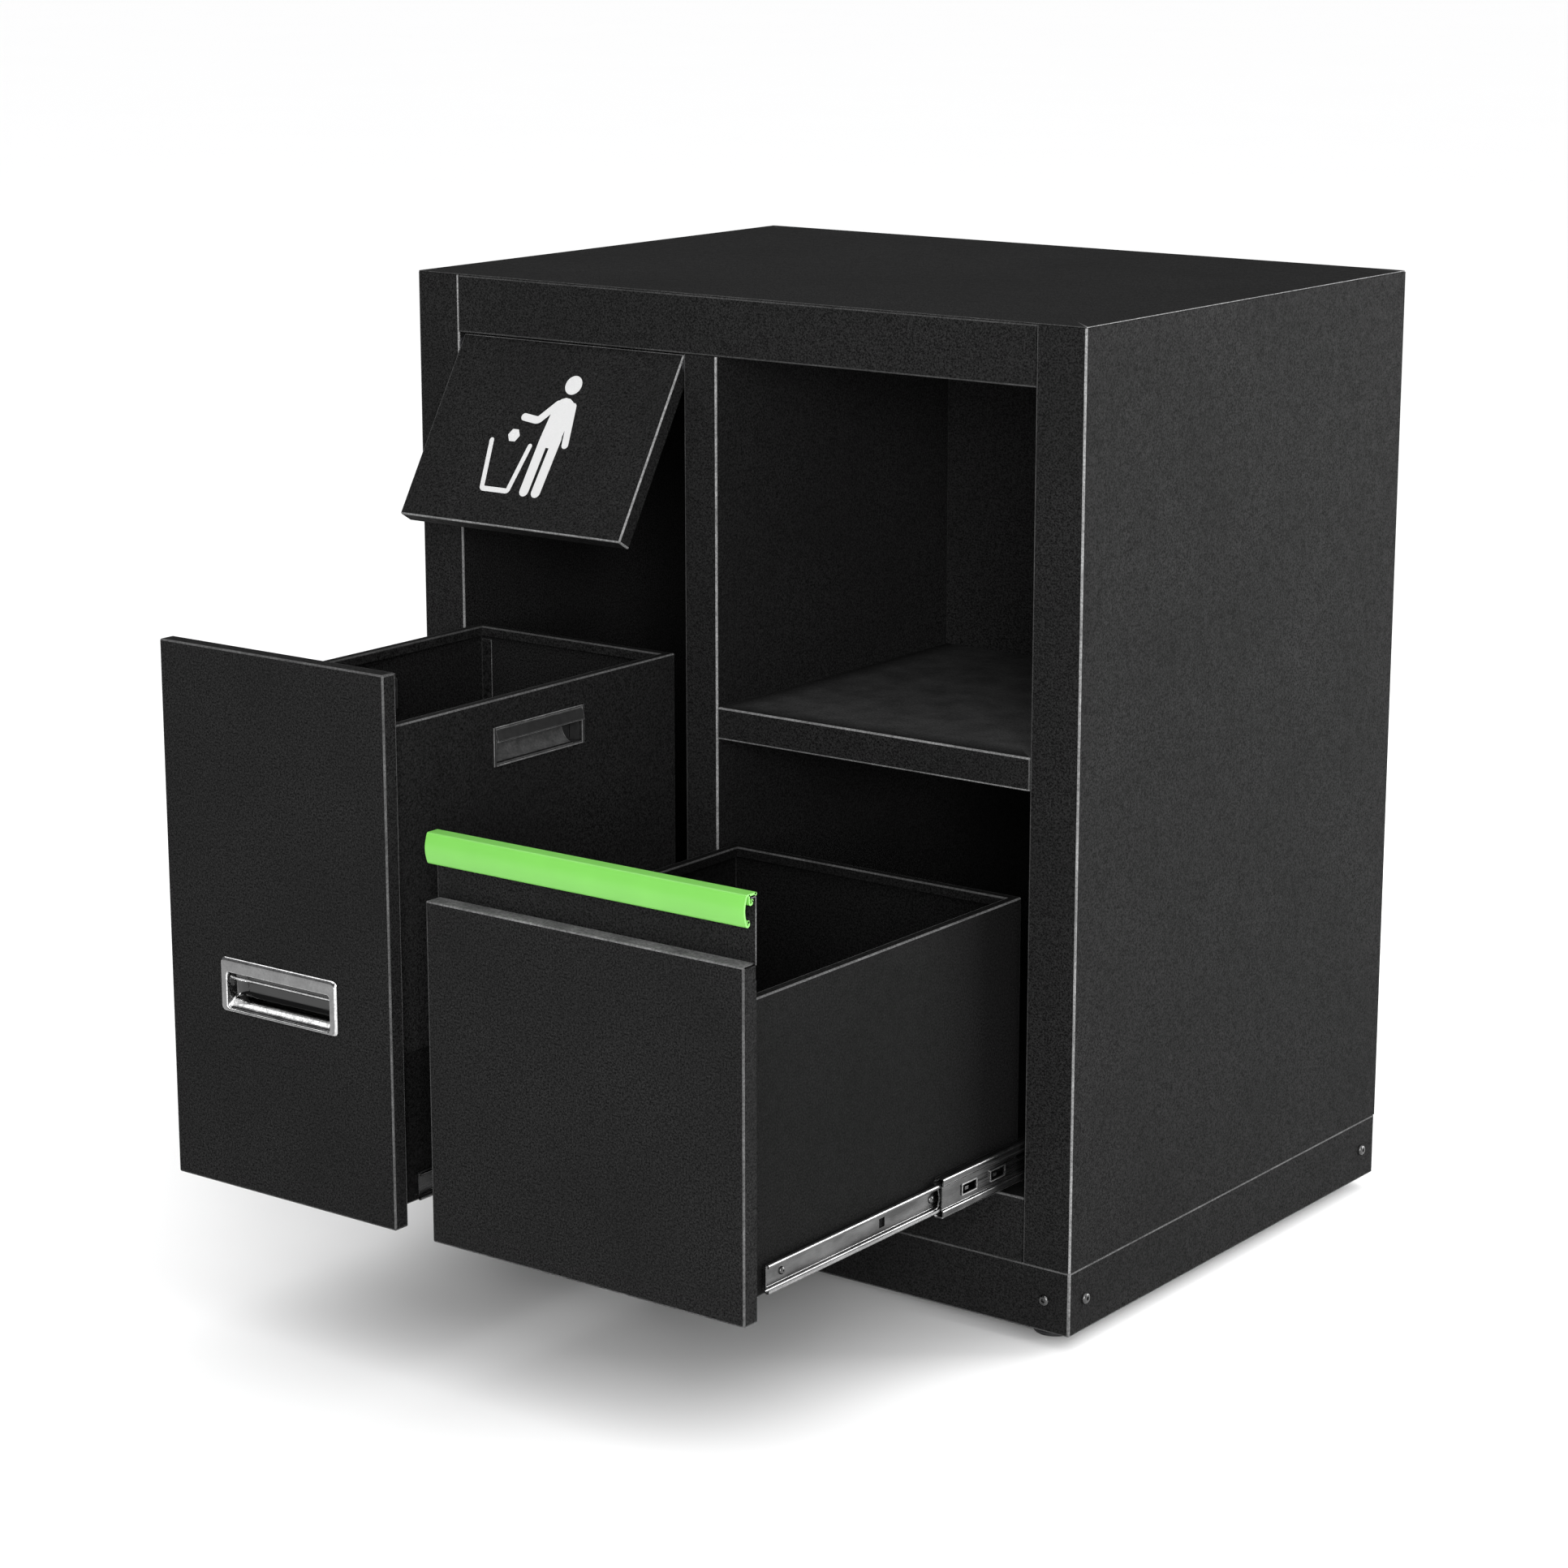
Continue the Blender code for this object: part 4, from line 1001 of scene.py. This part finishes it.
def make_print():
    """A plain figure dropping a crumpled ball into a bin, from round-ended strokes and discs."""
    print_mark("head", circle(9.5) + [19, -41], 0)
    print_mark("body", ribbon([(17, -66), (14, -93)], 24), 0)
    print_mark("far_leg", ribbon([(21.5, -95), (18.5, -149)], 10.5), 1)
    print_mark("near_leg", ribbon([(7.0, -95), (4.5, -149)], 10.5), 2)
    print_mark("far_arm", ribbon([(27, -62), (33, -100)], 7.5), 3)
    print_mark("near_arm", ribbon(rounded_path([(9, -61), (-8, -79), (-25, -77)], 6), 7.5), 4)
    print_mark("bin", ribbon(rounded_path([(-54, -103), (-46, -151), (-15, -151), (-7, -105)], 2.5), 5), 0)
    print_mark("ball", rounded_path(circle(7, 6) + [-30, -96], 1.2, closed=True), 0)


class CABINET_OT_flap(bpy.types.Operator):
    """The litter flap and the picture printed on it"""

    bl_idname = "cabinet.flap"
    bl_label = "Flap"

    def execute(self, context):
        make_flap()
        make_print()
        return {"FINISHED"}


# ---- Waste drawer ----
def box_fold(low, high, hem=True):
    """The fold of an open box: floor, wall, and a hem turned in and down."""
    sheet = bpy.context.scene.cabinet_sheet
    points = [(30 * MM, low[2]), (0, low[2]), (0, high[2])]
    if hem:
        points += [(sheet.hem_width, high[2]), (sheet.hem_width, high[2] - sheet.hem_drop)]
    return rounded_path(points, 1.3 * MM)


# Painted highlight on the folds and rims of the boxes and the bin, palest on the right.
BOX_HIGHLIGHT = {"wear": (0.36, 0.25, 0.2, 0.25), "corner_wear": 0.15}


def make_box(name, node, body, hem=True):
    """A drawer's folded box or tray, with or without a hemmed rim."""
    low, high = corners(node)
    centre, half = middle(low, high)
    fold = box_fold(low, high, hem)
    # Painted shade: the boxes take the darker copy of the black coat.
    coat = finish("deep_black_coat")
    box = pan(name, "Z", centre[:2], half[:2], fold, 1.8 * MM, coat, caps=("first",), **BOX_HIGHLIGHT)
    fitted(box, body, "black_powder_coat", node)


def make_waste_front():
    """The drawer's front: a pan whose flanges end in a lip, with an opening for the pull."""
    low, high = corners("waste_drawer_front")
    pull_low, pull_high = corners("recessed_pull")
    centre, half = middle(low, high)
    lip = 12 * MM
    fold = rounded_path([(lip, high[1]), (0, high[1]), (0, low[1]), (20 * MM, low[1])], 1.4 * MM)
    hole_centre, hole_half = middle(pull_low, pull_high)
    hole = rounded_rect(hole_half[0] - 5 * MM, hole_half[2] - 5 * MM, 4 * MM)
    hole = placed("Y", hole[:, 0] + hole_centre[0], hole[:, 1] + hole_centre[2], low[1])
    # Painted highlight on the front's folds.
    front = pan(
        "waste_front_pan", "Y", centre[[0, 2]], half[[0, 2]], fold, 1.8 * MM, finish("black_coat"),
        wear=(0.35, 0.3, 0.15, 0.3), inner=hole,
    )
    fitted(front, "waste_drawer", "black_powder_coat", "waste_drawer_front")


def rings_of(centre, rings):
    """Loops of rounded rectangles, from half sizes, corner, depth behind the face and lift in mm."""
    loops, low_side = [], []
    for half_w, half_h, corner, depth, lift in rings:
        loop = rounded_rect(half_w, half_h, corner * MM, steps=7)
        y = DRAWER_FACE + depth * MM
        loops.append(placed("Y", loop[:, 0] + centre[0], loop[:, 1] + centre[2] + lift * MM, y))
        low_side.append(loop[:, 1] < 1.5 * corner * MM - half_h)
    return np.stack(loops), np.stack(low_side)


def make_pull():
    """A die-cast pull: a frame with a bevel that is widest above, and a cup behind its mouth with painted shade.

    The cup's lower side rises to its back as a slope with a painted highlight. A rounded bar runs under
    its upper side.
    """
    low, high = corners("recessed_pull")
    centre, half = middle(low, high)
    w, h = half[0], half[2]
    chrome = finish("chromed_die_casting")
    frame_rings = [
        (w, h, 5.0, 0.1, 0.0), (w, h, 5.0, -0.3, 0.0), (w - 0.3 * MM, h - 0.2 * MM, 4.8, -0.6, 0.0),
        (w - 1.4 * MM, h - 1.6 * MM, 4.2, -2.0, -0.5), (w - 1.8 * MM, h - 2.1 * MM, 4.0, -2.2, -0.6),
        (w - 7.0 * MM, h - 7.6 * MM, 3.6, -2.2, -4.9), (w - 7.4 * MM, h - 8.0 * MM, 3.4, -2.0, -5.0),
        (w - 7.8 * MM, h - 8.4 * MM, 3.2, -1.2, -5.0), (w - 7.9 * MM, h - 8.5 * MM, 3.2, 0.4, -5.0),
    ]
    # Painted highlight: the upper bevel and the mouth's edge are painted palest.
    rim_highlight = np.array([0.1, 0.5, 1.0, 1.0, 0.1, 0.1, 0.9, 0.9, 0.0])[:, None]
    loops, _ = rings_of(centre, frame_rings)
    rim = surface("pull_frame", loops, chrome, wrap=True, show="out", worn=rim_highlight)
    fitted(walled(rim, 0.7 * MM), "waste_drawer", "chrome", "recessed_pull")
    cup_rings = [
        (w - 7.7 * MM, h - 8.2 * MM, 3.2, -0.8, -5.0), (w - 8.2 * MM, h - 9.2 * MM, 3.2, 0.6, -4.2),
        (w - 8.8 * MM, h - 12.0 * MM, 3.0, 4.6, -1.7), (w - 9.4 * MM, h - 12.4 * MM, 3.0, 7.5, -1.3),
        (w - 11.0 * MM, h - 13.4 * MM, 3.0, 10.6, -1.1), (w - 14.0 * MM, h - 15.5 * MM, 2.6, 12.6, -0.9),
        (w - 19.0 * MM, h - 19.5 * MM, 2.2, 13.2, -0.6),
    ]
    loops, low_side = rings_of(centre, cup_rings)
    # Painted highlight: the cup's lower side is painted pale near its mouth.
    slope_highlight = np.where(low_side, np.array([1.0, 1.0, 0.9, 0.15, 0.0, 0.0, 0.0])[:, None], 0.0)
    # Painted shade: the cup takes the darker copy of the chrome.
    cup_shade = finish("dark_die_casting")
    cup = surface("pull_cup", loops, cup_shade, wrap=True, caps=("last",), show="in", worn=slope_highlight)
    fitted(walled(cup, 0.7 * MM), "waste_drawer", "chrome")
    y, z = DRAWER_FACE + 2.6 * MM, centre[2] + 5.9 * MM
    bar = ribbon([(y - 0.6 * MM, z + 0.9 * MM), (y, z), (y + 0.9 * MM, z - 0.8 * MM)], 2.0 * MM)
    lip = prism("pull_lip", bar, "X", (centre[0] - w + 8.8 * MM, centre[0] + w - 8.8 * MM), chrome)
    # Painted highlight: the bar is painted pale along its length.
    raise_wear_and_highlight(lip, low - MM, high + MM, 0.8)
    fitted(lip, "waste_drawer", "chrome")


def make_buffers():
    """Domed rubber buffers behind the front and beside the flap."""
    for name in frame["nodes"]:
        if "front_buffer" in name:
            low, high = corners(name)
            centre, half = middle(low, high)
            r = half[0]
            dome = [(low[1], r), (low[1] + 3 * MM, r), (low[1] + 4.3 * MM, r * 0.8), (high[1], r * 0.35)]
            place = (centre[0], 0, centre[2])
            piece = turned(f"{name}_dome", dome, place, "Y", finish("moulded_rubber"), steps=24)
            fitted(piece, "waste_drawer", "rubber", name)
        if "flap_buffer" in name:
            low, high = corners(name)
            centre, half = middle(low, high)
            outline = rounded_rect(half[0], half[2], 2 * MM) + [centre[0], centre[2]]
            piece = prism(f"{name}_block", outline, "Y", (low[1], high[1]), finish("moulded_rubber"))
            fitted(piece, "cabinet", "rubber", name)


def grip_windows():
    """Boxes round the bin's walls where the grips pass through, and the places along them."""
    boxes = []
    for side in SIDES:
        low, high = corners(f"bin_grip_{side}")
        grow = np.array([12 * MM, -4 * MM, -4 * MM])
        boxes.append((low - grow, high + grow))
    return boxes


def make_bin():
    """The lift-out bin, open where its grips pass through, and the lap of its back corner."""
    low, high = corners("waste_bin")
    centre, half = middle(low, high)
    windows = grip_windows()
    (_, y0, z0), (_, y1, z1) = windows[0]
    fold = box_fold(low, high)
    wall = np.argmin(np.abs(fold[:, 0]) + (fold[:, 1] < (low[2] + high[2]) / 2))
    rows = np.insert(fold, wall, [(0, z0), (0, z1)], axis=0)
    body = pan(
        "bin_body", "Z", centre[:2], half[:2], rows, 1.8 * MM, finish("black_coat"),
        caps=("first",), up=(y0 - centre[1], y1 - centre[1]), windows=windows, **BOX_HIGHLIGHT,
    )
    fitted(body, "waste_bin", "black_powder_coat", "waste_bin")
    back = high[1] - SHEET
    lap = back - 0.9 * MM
    fold = rounded_path([(0, back), (0, lap), (3 * MM, lap)], 0.4 * MM, guard=0.1 * MM)
    place = (low[0] + SHEET + 7 * MM, (low[2] + high[2]) / 2 - 6 * MM)
    # Painted highlight on the lap's folds.
    strip = pan(
        "bin_corner_lap", "Y", place, np.array((6 * MM, (high[2] - low[2]) / 2 - 8 * MM)), fold, 1.0 * MM,
        finish("black_coat"), wall=0, wear=(0.5, 0.3, 0.3, 0.3), caps=("last",),
    )
    fitted(strip, "waste_bin", "black_powder_coat")


def grip_sheet(side, word, path, span, folds, ends):
    """One pressing of a grip, carried along the bin's wall.

    path is in millimetres behind the wall's face and above the grip's foot. folds and ends give the
    painted highlight on its folds and its four stations along the wall.
    """
    low, high = corners(f"bin_grip_{side}")
    face = low[0] if side == "left" else high[0]
    start, stop = span
    along = np.array([start, start + GUARD, stop - 2 * GUARD, stop])
    depth = face + SIDES[side] * path[:, None, 0] * MM
    grid = placed("Y", depth, low[2] + path[:, None, 1] * MM, along[None])
    worn = np.maximum(np.reshape(folds, (-1, 1)), ends)
    coat = finish("satin_black_enamel")
    piece = surface(f"bin_grip_{side}_{word}", grid, coat, show="in", worn=worn)
    fitted(walled(piece, 0.5 * MM, even=False), "waste_bin", "black_powder_coat", f"bin_grip_{side}")


def make_grip(side):
    """A pressed grip: a sloped brow whose lip stands proud, a slit under it, and a scoop behind.

    The frame's section, in depth and height, is carried along the wall, and two cheeks close its
    ends. The scoop is a quarter ellipse that runs in from the lower rim and rises to the back. It
    stops short of the far cheek and leaves a pocket.
    """
    low, high = corners(f"bin_grip_{side}")
    inward = SIDES[side]
    face = low[0] if side == "left" else high[0]
    (y0, z0), (y1, z1) = low[1:], high[1:]
    rise = (z1 - z0) / MM
    lower = [(1.6, 0.3), (-0.8, 0.3), (-0.8, 1.5), (0.6, 2.2)]
    recess = [(15.6, 2.2), (15.6, 31.0), (3.0, 29.0), (-0.8, 23.4)]
    brow = [(-1.9, 22.0), (-3.2, 22.4), (-3.2, 23.6), (-0.3, rise - 3.2), (-0.3, rise - 2.4)]
    upper = [(-0.8, rise - 2.0), (-0.8, rise - 0.3), (1.6, rise - 0.3)]
    path = rounded_path([*lower, *recess, *brow, *upper], 0.6, steps=3, guard=0.08)
    cheek, pocket = 3.2 * MM, 12 * MM
    # Painted highlight: the frame's outer folds are painted pale.
    outer = bends(path) * (path[:, 0] < 4) * 0.6
    grip_sheet(side, "frame", path, (y0 + cheek, y1 - cheek), outer, (0.3, 0, 0, 0.3))
    turn = np.linspace(0, math.pi / 2, 11)
    scoop = np.stack([0.8 + 13.6 * np.sin(turn), 21.0 - 18.2 * np.cos(turn)], -1)
    # Painted highlight: the scoop is painted pale along its ends, most at the far end.
    grip_sheet(side, "scoop", scoop, (y0 + cheek, y1 - cheek - pocket), 0.0, (0.22, 0.22, 0.22, 1.0))
    deep, proud = face + inward * 14.5 * MM, face - inward * 0.6 * MM
    for n, (edge, way) in enumerate(((y0, 1), (y1, -1))):
        near, far = edge + way * (cheek + 0.2 * MM), edge + way * 0.4 * MM
        section = [(deep, near), (proud, near), (proud, far), (face + inward * MM, far)]
        # Painted highlight: the cheeks' edges and folds are painted pale.
        piece = bent_sheet(
            f"bin_grip_{side}_cheek_{n}", section, "Z", (z0 + 0.5 * MM, z1 - 0.5 * MM),
            finish("satin_black_enamel"), radius=0.5 * MM, wall=0.4 * MM, edge=0.35, fold_highlight=0.4,
        )
        fitted(piece, "waste_bin", "black_powder_coat")


class CABINET_OT_waste_drawer(bpy.types.Operator):
    """The waste drawer with its pull, tray, buffers and lift-out bin"""

    bl_idname = "cabinet.waste_drawer"
    bl_label = "Waste Drawer"

    def execute(self, context):
        make_waste_front()
        make_pull()
        make_box("waste_tray", "waste_drawer_tray", "waste_drawer", hem=False)
        make_buffers()
        make_bin()
        for side in SIDES:
            make_grip(side)
        return {"FINISHED"}


# ---- Paper drawer ----
LEDGE = 443 * MM  # height of the ledge at the front's top
FLANGE = 17 * MM


def make_paper_front():
    """The drawer's front pan, whose top flange is a ledge, and the plate that rises behind it."""
    low, high = corners("paper_drawer_front")
    coat = finish("black_coat")
    centre = ((low[0] + high[0]) / 2, (low[2] + LEDGE) / 2)
    half = ((high[0] - low[0]) / 2, (LEDGE - low[2]) / 2)
    fold = rounded_path([(0, low[1] + FLANGE), (0, low[1]), (30 * MM, low[1])], 1.4 * MM)
    seams = [
        ((x - 1.7 * MM, low[1] + 1.8 * MM, LEDGE - 1.7 * MM), (x + 1.7 * MM, high[1] + MM, LEDGE + MM))
        for x in (low[0], high[0])
    ]
    # Painted highlight: the front's top fold is painted palest.
    front = pan(
        "paper_front_pan", "Y", centre, np.array(half), fold, 1.4 * MM, coat,
        wear=(0.4, 0.6, 0.2, 0.3), caps=("last",), windows=seams,
    )
    # Painted reflection: the ledge is painted pale for the light it reflects at a slant.
    ledge_low = (low[0] - MM, low[1] + 1.5 * MM, LEDGE - 0.1 * MM)
    ledge_high = (high[0] + MM, high[1] + MM, LEDGE + 0.1 * MM)
    raise_wear_and_highlight(front, ledge_low, ledge_high, 0.62)
    fitted(front, "paper_drawer", "black_powder_coat", "paper_drawer_front")
    y = low[1] + FLANGE
    section = [(y, LEDGE - 14 * MM), (y, high[2] - SHEET), (y - 7 * MM, high[2] - SHEET)]
    # Painted highlight: the plate's cut edges are painted pale.
    plate = bent_sheet(
        "paper_front_plate", section, "X", (low[0], high[0]), coat,
        radius=1.2 * MM, wall=0.9 * MM, edge=0.8,
    )
    fitted(plate, "paper_drawer", "black_powder_coat")


def curl(start, radius, end):
    """An arc that sets off straight down from a point and turns up again, to an end angle."""
    turn = np.linspace(math.pi, end, 9)[:, None]
    return start + np.array([radius, 0]) + radius * np.concatenate([np.cos(turn), np.sin(turn)], 1)


def make_handle():
    """The green extrusion: a wall of even thickness along a line that runs over and down the front.

    The front bows out by a half sine wave, and its foot curls up in a half circle. A hook hangs inside.
    """
    low, high = corners("green_handle")
    wall = 1.9 * MM
    top, foot = high[2] - wall / 2, low[2] + wall / 2
    front, back = low[1] + wall / 2, high[1] - wall / 2
    bow = 3.0 * MM
    t = np.linspace(0.06, 0.94, 15)
    bowed = np.stack([front + bow * (1 - np.sin(math.pi * t)), top - (top - foot) * t], -1)
    shoulder = rounded_path([(back, top), (front + bow, top), bowed[0]], 2.2 * MM, steps=5)
    path = np.concatenate([shoulder[:-1], bowed, curl(bowed[-1], 1.9 * MM, 2.35 * math.pi)[1:]])
    span, green = (low[0], high[0]), finish("satin_coated_extrusion")
    profile = prism("handle_profile", ribbon(path, wall), "X", span, green)
    fitted(profile, "paper_drawer", "green_profile", "green_handle")
    x = front + 6.4 * MM
    hook_curl = curl((x, top - 6.2 * MM), 2.1 * MM, 2.15 * math.pi)
    hook = np.concatenate([[(x, top - 0.3 * MM), (x, top - 3 * MM)], hook_curl])
    piece = prism("handle_hook", ribbon(hook, 1.5 * MM), "X", span, green)
    fitted(piece, "paper_drawer", "green_profile")
    back_end = (back + 0.1 * MM, top - 0.5 * MM)
    beads = {"hook": (hook[-1], 1.35), "back": (back_end, 1.5), "foot": (path[-1], 1.45)}
    for word, (place, size) in beads.items():
        bead = prism(f"handle_{word}_bead", circle(size * MM, 14) + place, "X", span, green)
        fitted(bead, "paper_drawer", "green_profile")


class CABINET_OT_paper_drawer(bpy.types.Operator):
    """The paper drawer with its ledge, green handle and box"""

    bl_idname = "cabinet.paper_drawer"
    bl_label = "Paper Drawer"

    def execute(self, context):
        make_paper_front()
        make_handle()
        make_box("paper_box", "paper_drawer_box", "paper_drawer")
        return {"FINISHED"}


# ---- Finishes and stage ----
CARRIED_OVER = {
    "black_powder_coat": "black_coat",
    "zinc_plate": "zinc_plated_strip",
    "rubber": "moulded_rubber",
    "black_nylon": "moulded_nylon",
    "chrome": "chromed_die_casting",
    "green_profile": "satin_coated_extrusion",
}


class CABINET_OT_finishes(bpy.types.Operator):
    """Every finish, put on the working model's own nodes as well"""

    bl_idname = "cabinet.finishes"
    bl_label = "Finishes"

    def execute(self, context):
        colours = context.scene.cabinet_finishes
        powder_coat("black_coat", list(colours.black), 0.025)
        # Painted shade: the darker copy of the black coat, for the drawers' boxes.
        powder_coat("deep_black_coat", list(colours.shaded_black), 0.03)
        green_coat(list(colours.green))
        chrome_plate("chromed_die_casting", list(colours.chrome))
        # Painted shade: a darker copy of the chrome, for the shade deep in the pull's cup.
        chrome_plate("dark_die_casting", linear("#454545"))
        zinc_plate(list(colours.zinc))
        moulded("moulded_rubber", linear("#161616"), 0.75)
        moulded("moulded_nylon", linear("#1e1e20"), 0.5)
        print_ink(list(colours.ink))
        # Painted sheen: the enamel's base is lighter than the case's coat, so the grips look lit.
        enamel(linear("#232323"))
        slots = {part["node"]: part["material_slot"] for part in frame["record"]["subparts"]}
        for name, thing in frame["nodes"].items():
            thing.data.materials.clear()
            thing.data.materials.append(finish(CARRIED_OVER[slots[name]]))
        return {"FINISHED"}


CAMERA_PLACE = (2.124, -2.833, 1.307)
CAMERA_YAW, CAMERA_PITCH = math.radians(36.86), math.radians(13.56)
CAMERA_LENS = 89.4
FLOOR_HALF = 60.0  # half the width of the floor, which runs out of sight
OVERHEAD_SPREAD = math.radians(100)
ROOM_LIGHT = 0.17
SOFTBOXES = {  # place, target and size of each
    "side": ((2.4, 2.6, 1.0), (0.3, 0.2, 0.5), 2.0),
    "front": ((4.0, -5.2, 3.3), (0.1, -0.1, 0.6), 2.8),
    "low": ((3.5, -4.7, 1.7), (0.1, -0.1, 0.5), 2.0),
}


def make_softbox(name, place, target, size, power):
    """A square soft light that faces a target."""
    lamp = bpy.data.lights.new(name, "AREA")
    lamp.shape = "SQUARE"
    lamp.size = size
    lamp.energy = power
    made = bpy.data.objects.new(name, lamp)
    made.location = place
    aim = np.asarray(target) - np.asarray(place)
    tilt = math.acos(-aim[2] / np.linalg.norm(aim))
    made.rotation_euler = (tilt, 0, math.atan2(-aim[0], aim[1]))
    made.visible_camera = False
    bpy.context.collection.objects.link(made)


def make_overhead(strength):
    """An even light straight down, as broad as a ceiling, which keeps the floor white to its end."""
    lamp = bpy.data.lights.new("overhead_light", "SUN")
    lamp.angle = OVERHEAD_SPREAD
    lamp.energy = strength
    bpy.context.collection.objects.link(bpy.data.objects.new("overhead_light", lamp))


def make_floor_plane(colour):
    """The pale floor, a very little uneven in tone."""
    ends = np.array([-FLOOR_HALF, FLOOR_HALF])
    tree, shader, place = started("studio_floor", 0.9, Specular_IOR_Level=0.1)
    joined(tree, shader, mottled(tree, noise(tree, place, 0.8), 0.3, colour, 0.985))
    floor = surface("studio_floor", placed("Z", ends[:, None], ends[None], 0.0), finish("studio_floor"))
    if floor.data.polygons[0].normal.z < 0:
        floor.data.flip_normals()


def make_world():
    """The faint even light of the room."""
    world = bpy.data.worlds.new("studio")
    world.use_nodes = True
    background = world.node_tree.nodes["Background"]
    background.inputs["Color"].default_value = (*linear("#e8e8ea"), 1)
    background.inputs["Strength"].default_value = ROOM_LIGHT
    bpy.context.scene.world = world
    bpy.context.scene.view_settings.view_transform = "Standard"


def make_camera():
    """The camera, turned about the upright and then pitched down."""
    lens = bpy.data.cameras.new("studio_camera")
    lens.lens = CAMERA_LENS
    camera = bpy.data.objects.new("studio_camera", lens)
    camera.location = CAMERA_PLACE
    camera.rotation_euler = (math.pi / 2 - CAMERA_PITCH, 0, CAMERA_YAW)
    bpy.context.collection.objects.link(camera)
    bpy.context.scene.camera = camera


class CABINET_OT_stage(bpy.types.Operator):
    """Pale floor, soft lights and the camera"""

    bl_idname = "cabinet.stage"
    bl_label = "Stage"

    def execute(self, context):
        settings = context.scene.cabinet_stage
        make_floor_plane(list(settings.floor))
        make_overhead(settings.overhead)
        for word, (place, target, size) in SOFTBOXES.items():
            make_softbox(f"{word}_softbox", place, target, size, getattr(settings, word))
        make_world()
        make_camera()
        return {"FINISHED"}


class CABINET_PT_panel(bpy.types.Panel):
    """Buttons for each group of pieces, and the settings they read"""

    bl_label = "Waste Cabinet"
    bl_idname = "CABINET_PT_panel"
    bl_space_type = "VIEW_3D"
    bl_region_type = "UI"
    bl_category = "Cabinet"

    def draw(self, context):
        for operator in OPERATORS:
            self.layout.operator(operator.bl_idname)
        for name, group in SETTINGS.items():
            box = self.layout.box()
            for key in group.__annotations__:
                box.prop(getattr(context.scene, name), key)


OPERATORS = (
    CABINET_OT_finishes, CABINET_OT_case, CABINET_OT_inside, CABINET_OT_slides, CABINET_OT_flap,
    CABINET_OT_waste_drawer, CABINET_OT_paper_drawer, CABINET_OT_stage,
)
SETTINGS = {
    "cabinet_sheet": SheetSettings, "cabinet_slides": SlideSettings,
    "cabinet_finishes": FinishSettings, "cabinet_stage": StageSettings,
}


def register():
    """Registers the settings, operators and panel, and hangs the settings on the scene."""
    for thing in (*SETTINGS.values(), *OPERATORS, CABINET_PT_panel):
        bpy.utils.register_class(thing)
    for name, group in SETTINGS.items():
        setattr(bpy.types.Scene, name, PointerProperty(type=group))


def unregister():
    """Takes off everything that register put on."""
    for name in SETTINGS:
        delattr(bpy.types.Scene, name)
    for thing in reversed((*SETTINGS.values(), *OPERATORS, CABINET_PT_panel)):
        bpy.utils.unregister_class(thing)


def main():
    """Registers the add-on and runs every group's operator."""
    register()
    bpy.ops.cabinet.finishes()
    bpy.ops.cabinet.case()
    bpy.ops.cabinet.inside()
    bpy.ops.cabinet.slides()
    bpy.ops.cabinet.flap()
    bpy.ops.cabinet.waste_drawer()
    bpy.ops.cabinet.paper_drawer()
    bpy.ops.cabinet.stage()


if __name__ == "__main__":
    main()
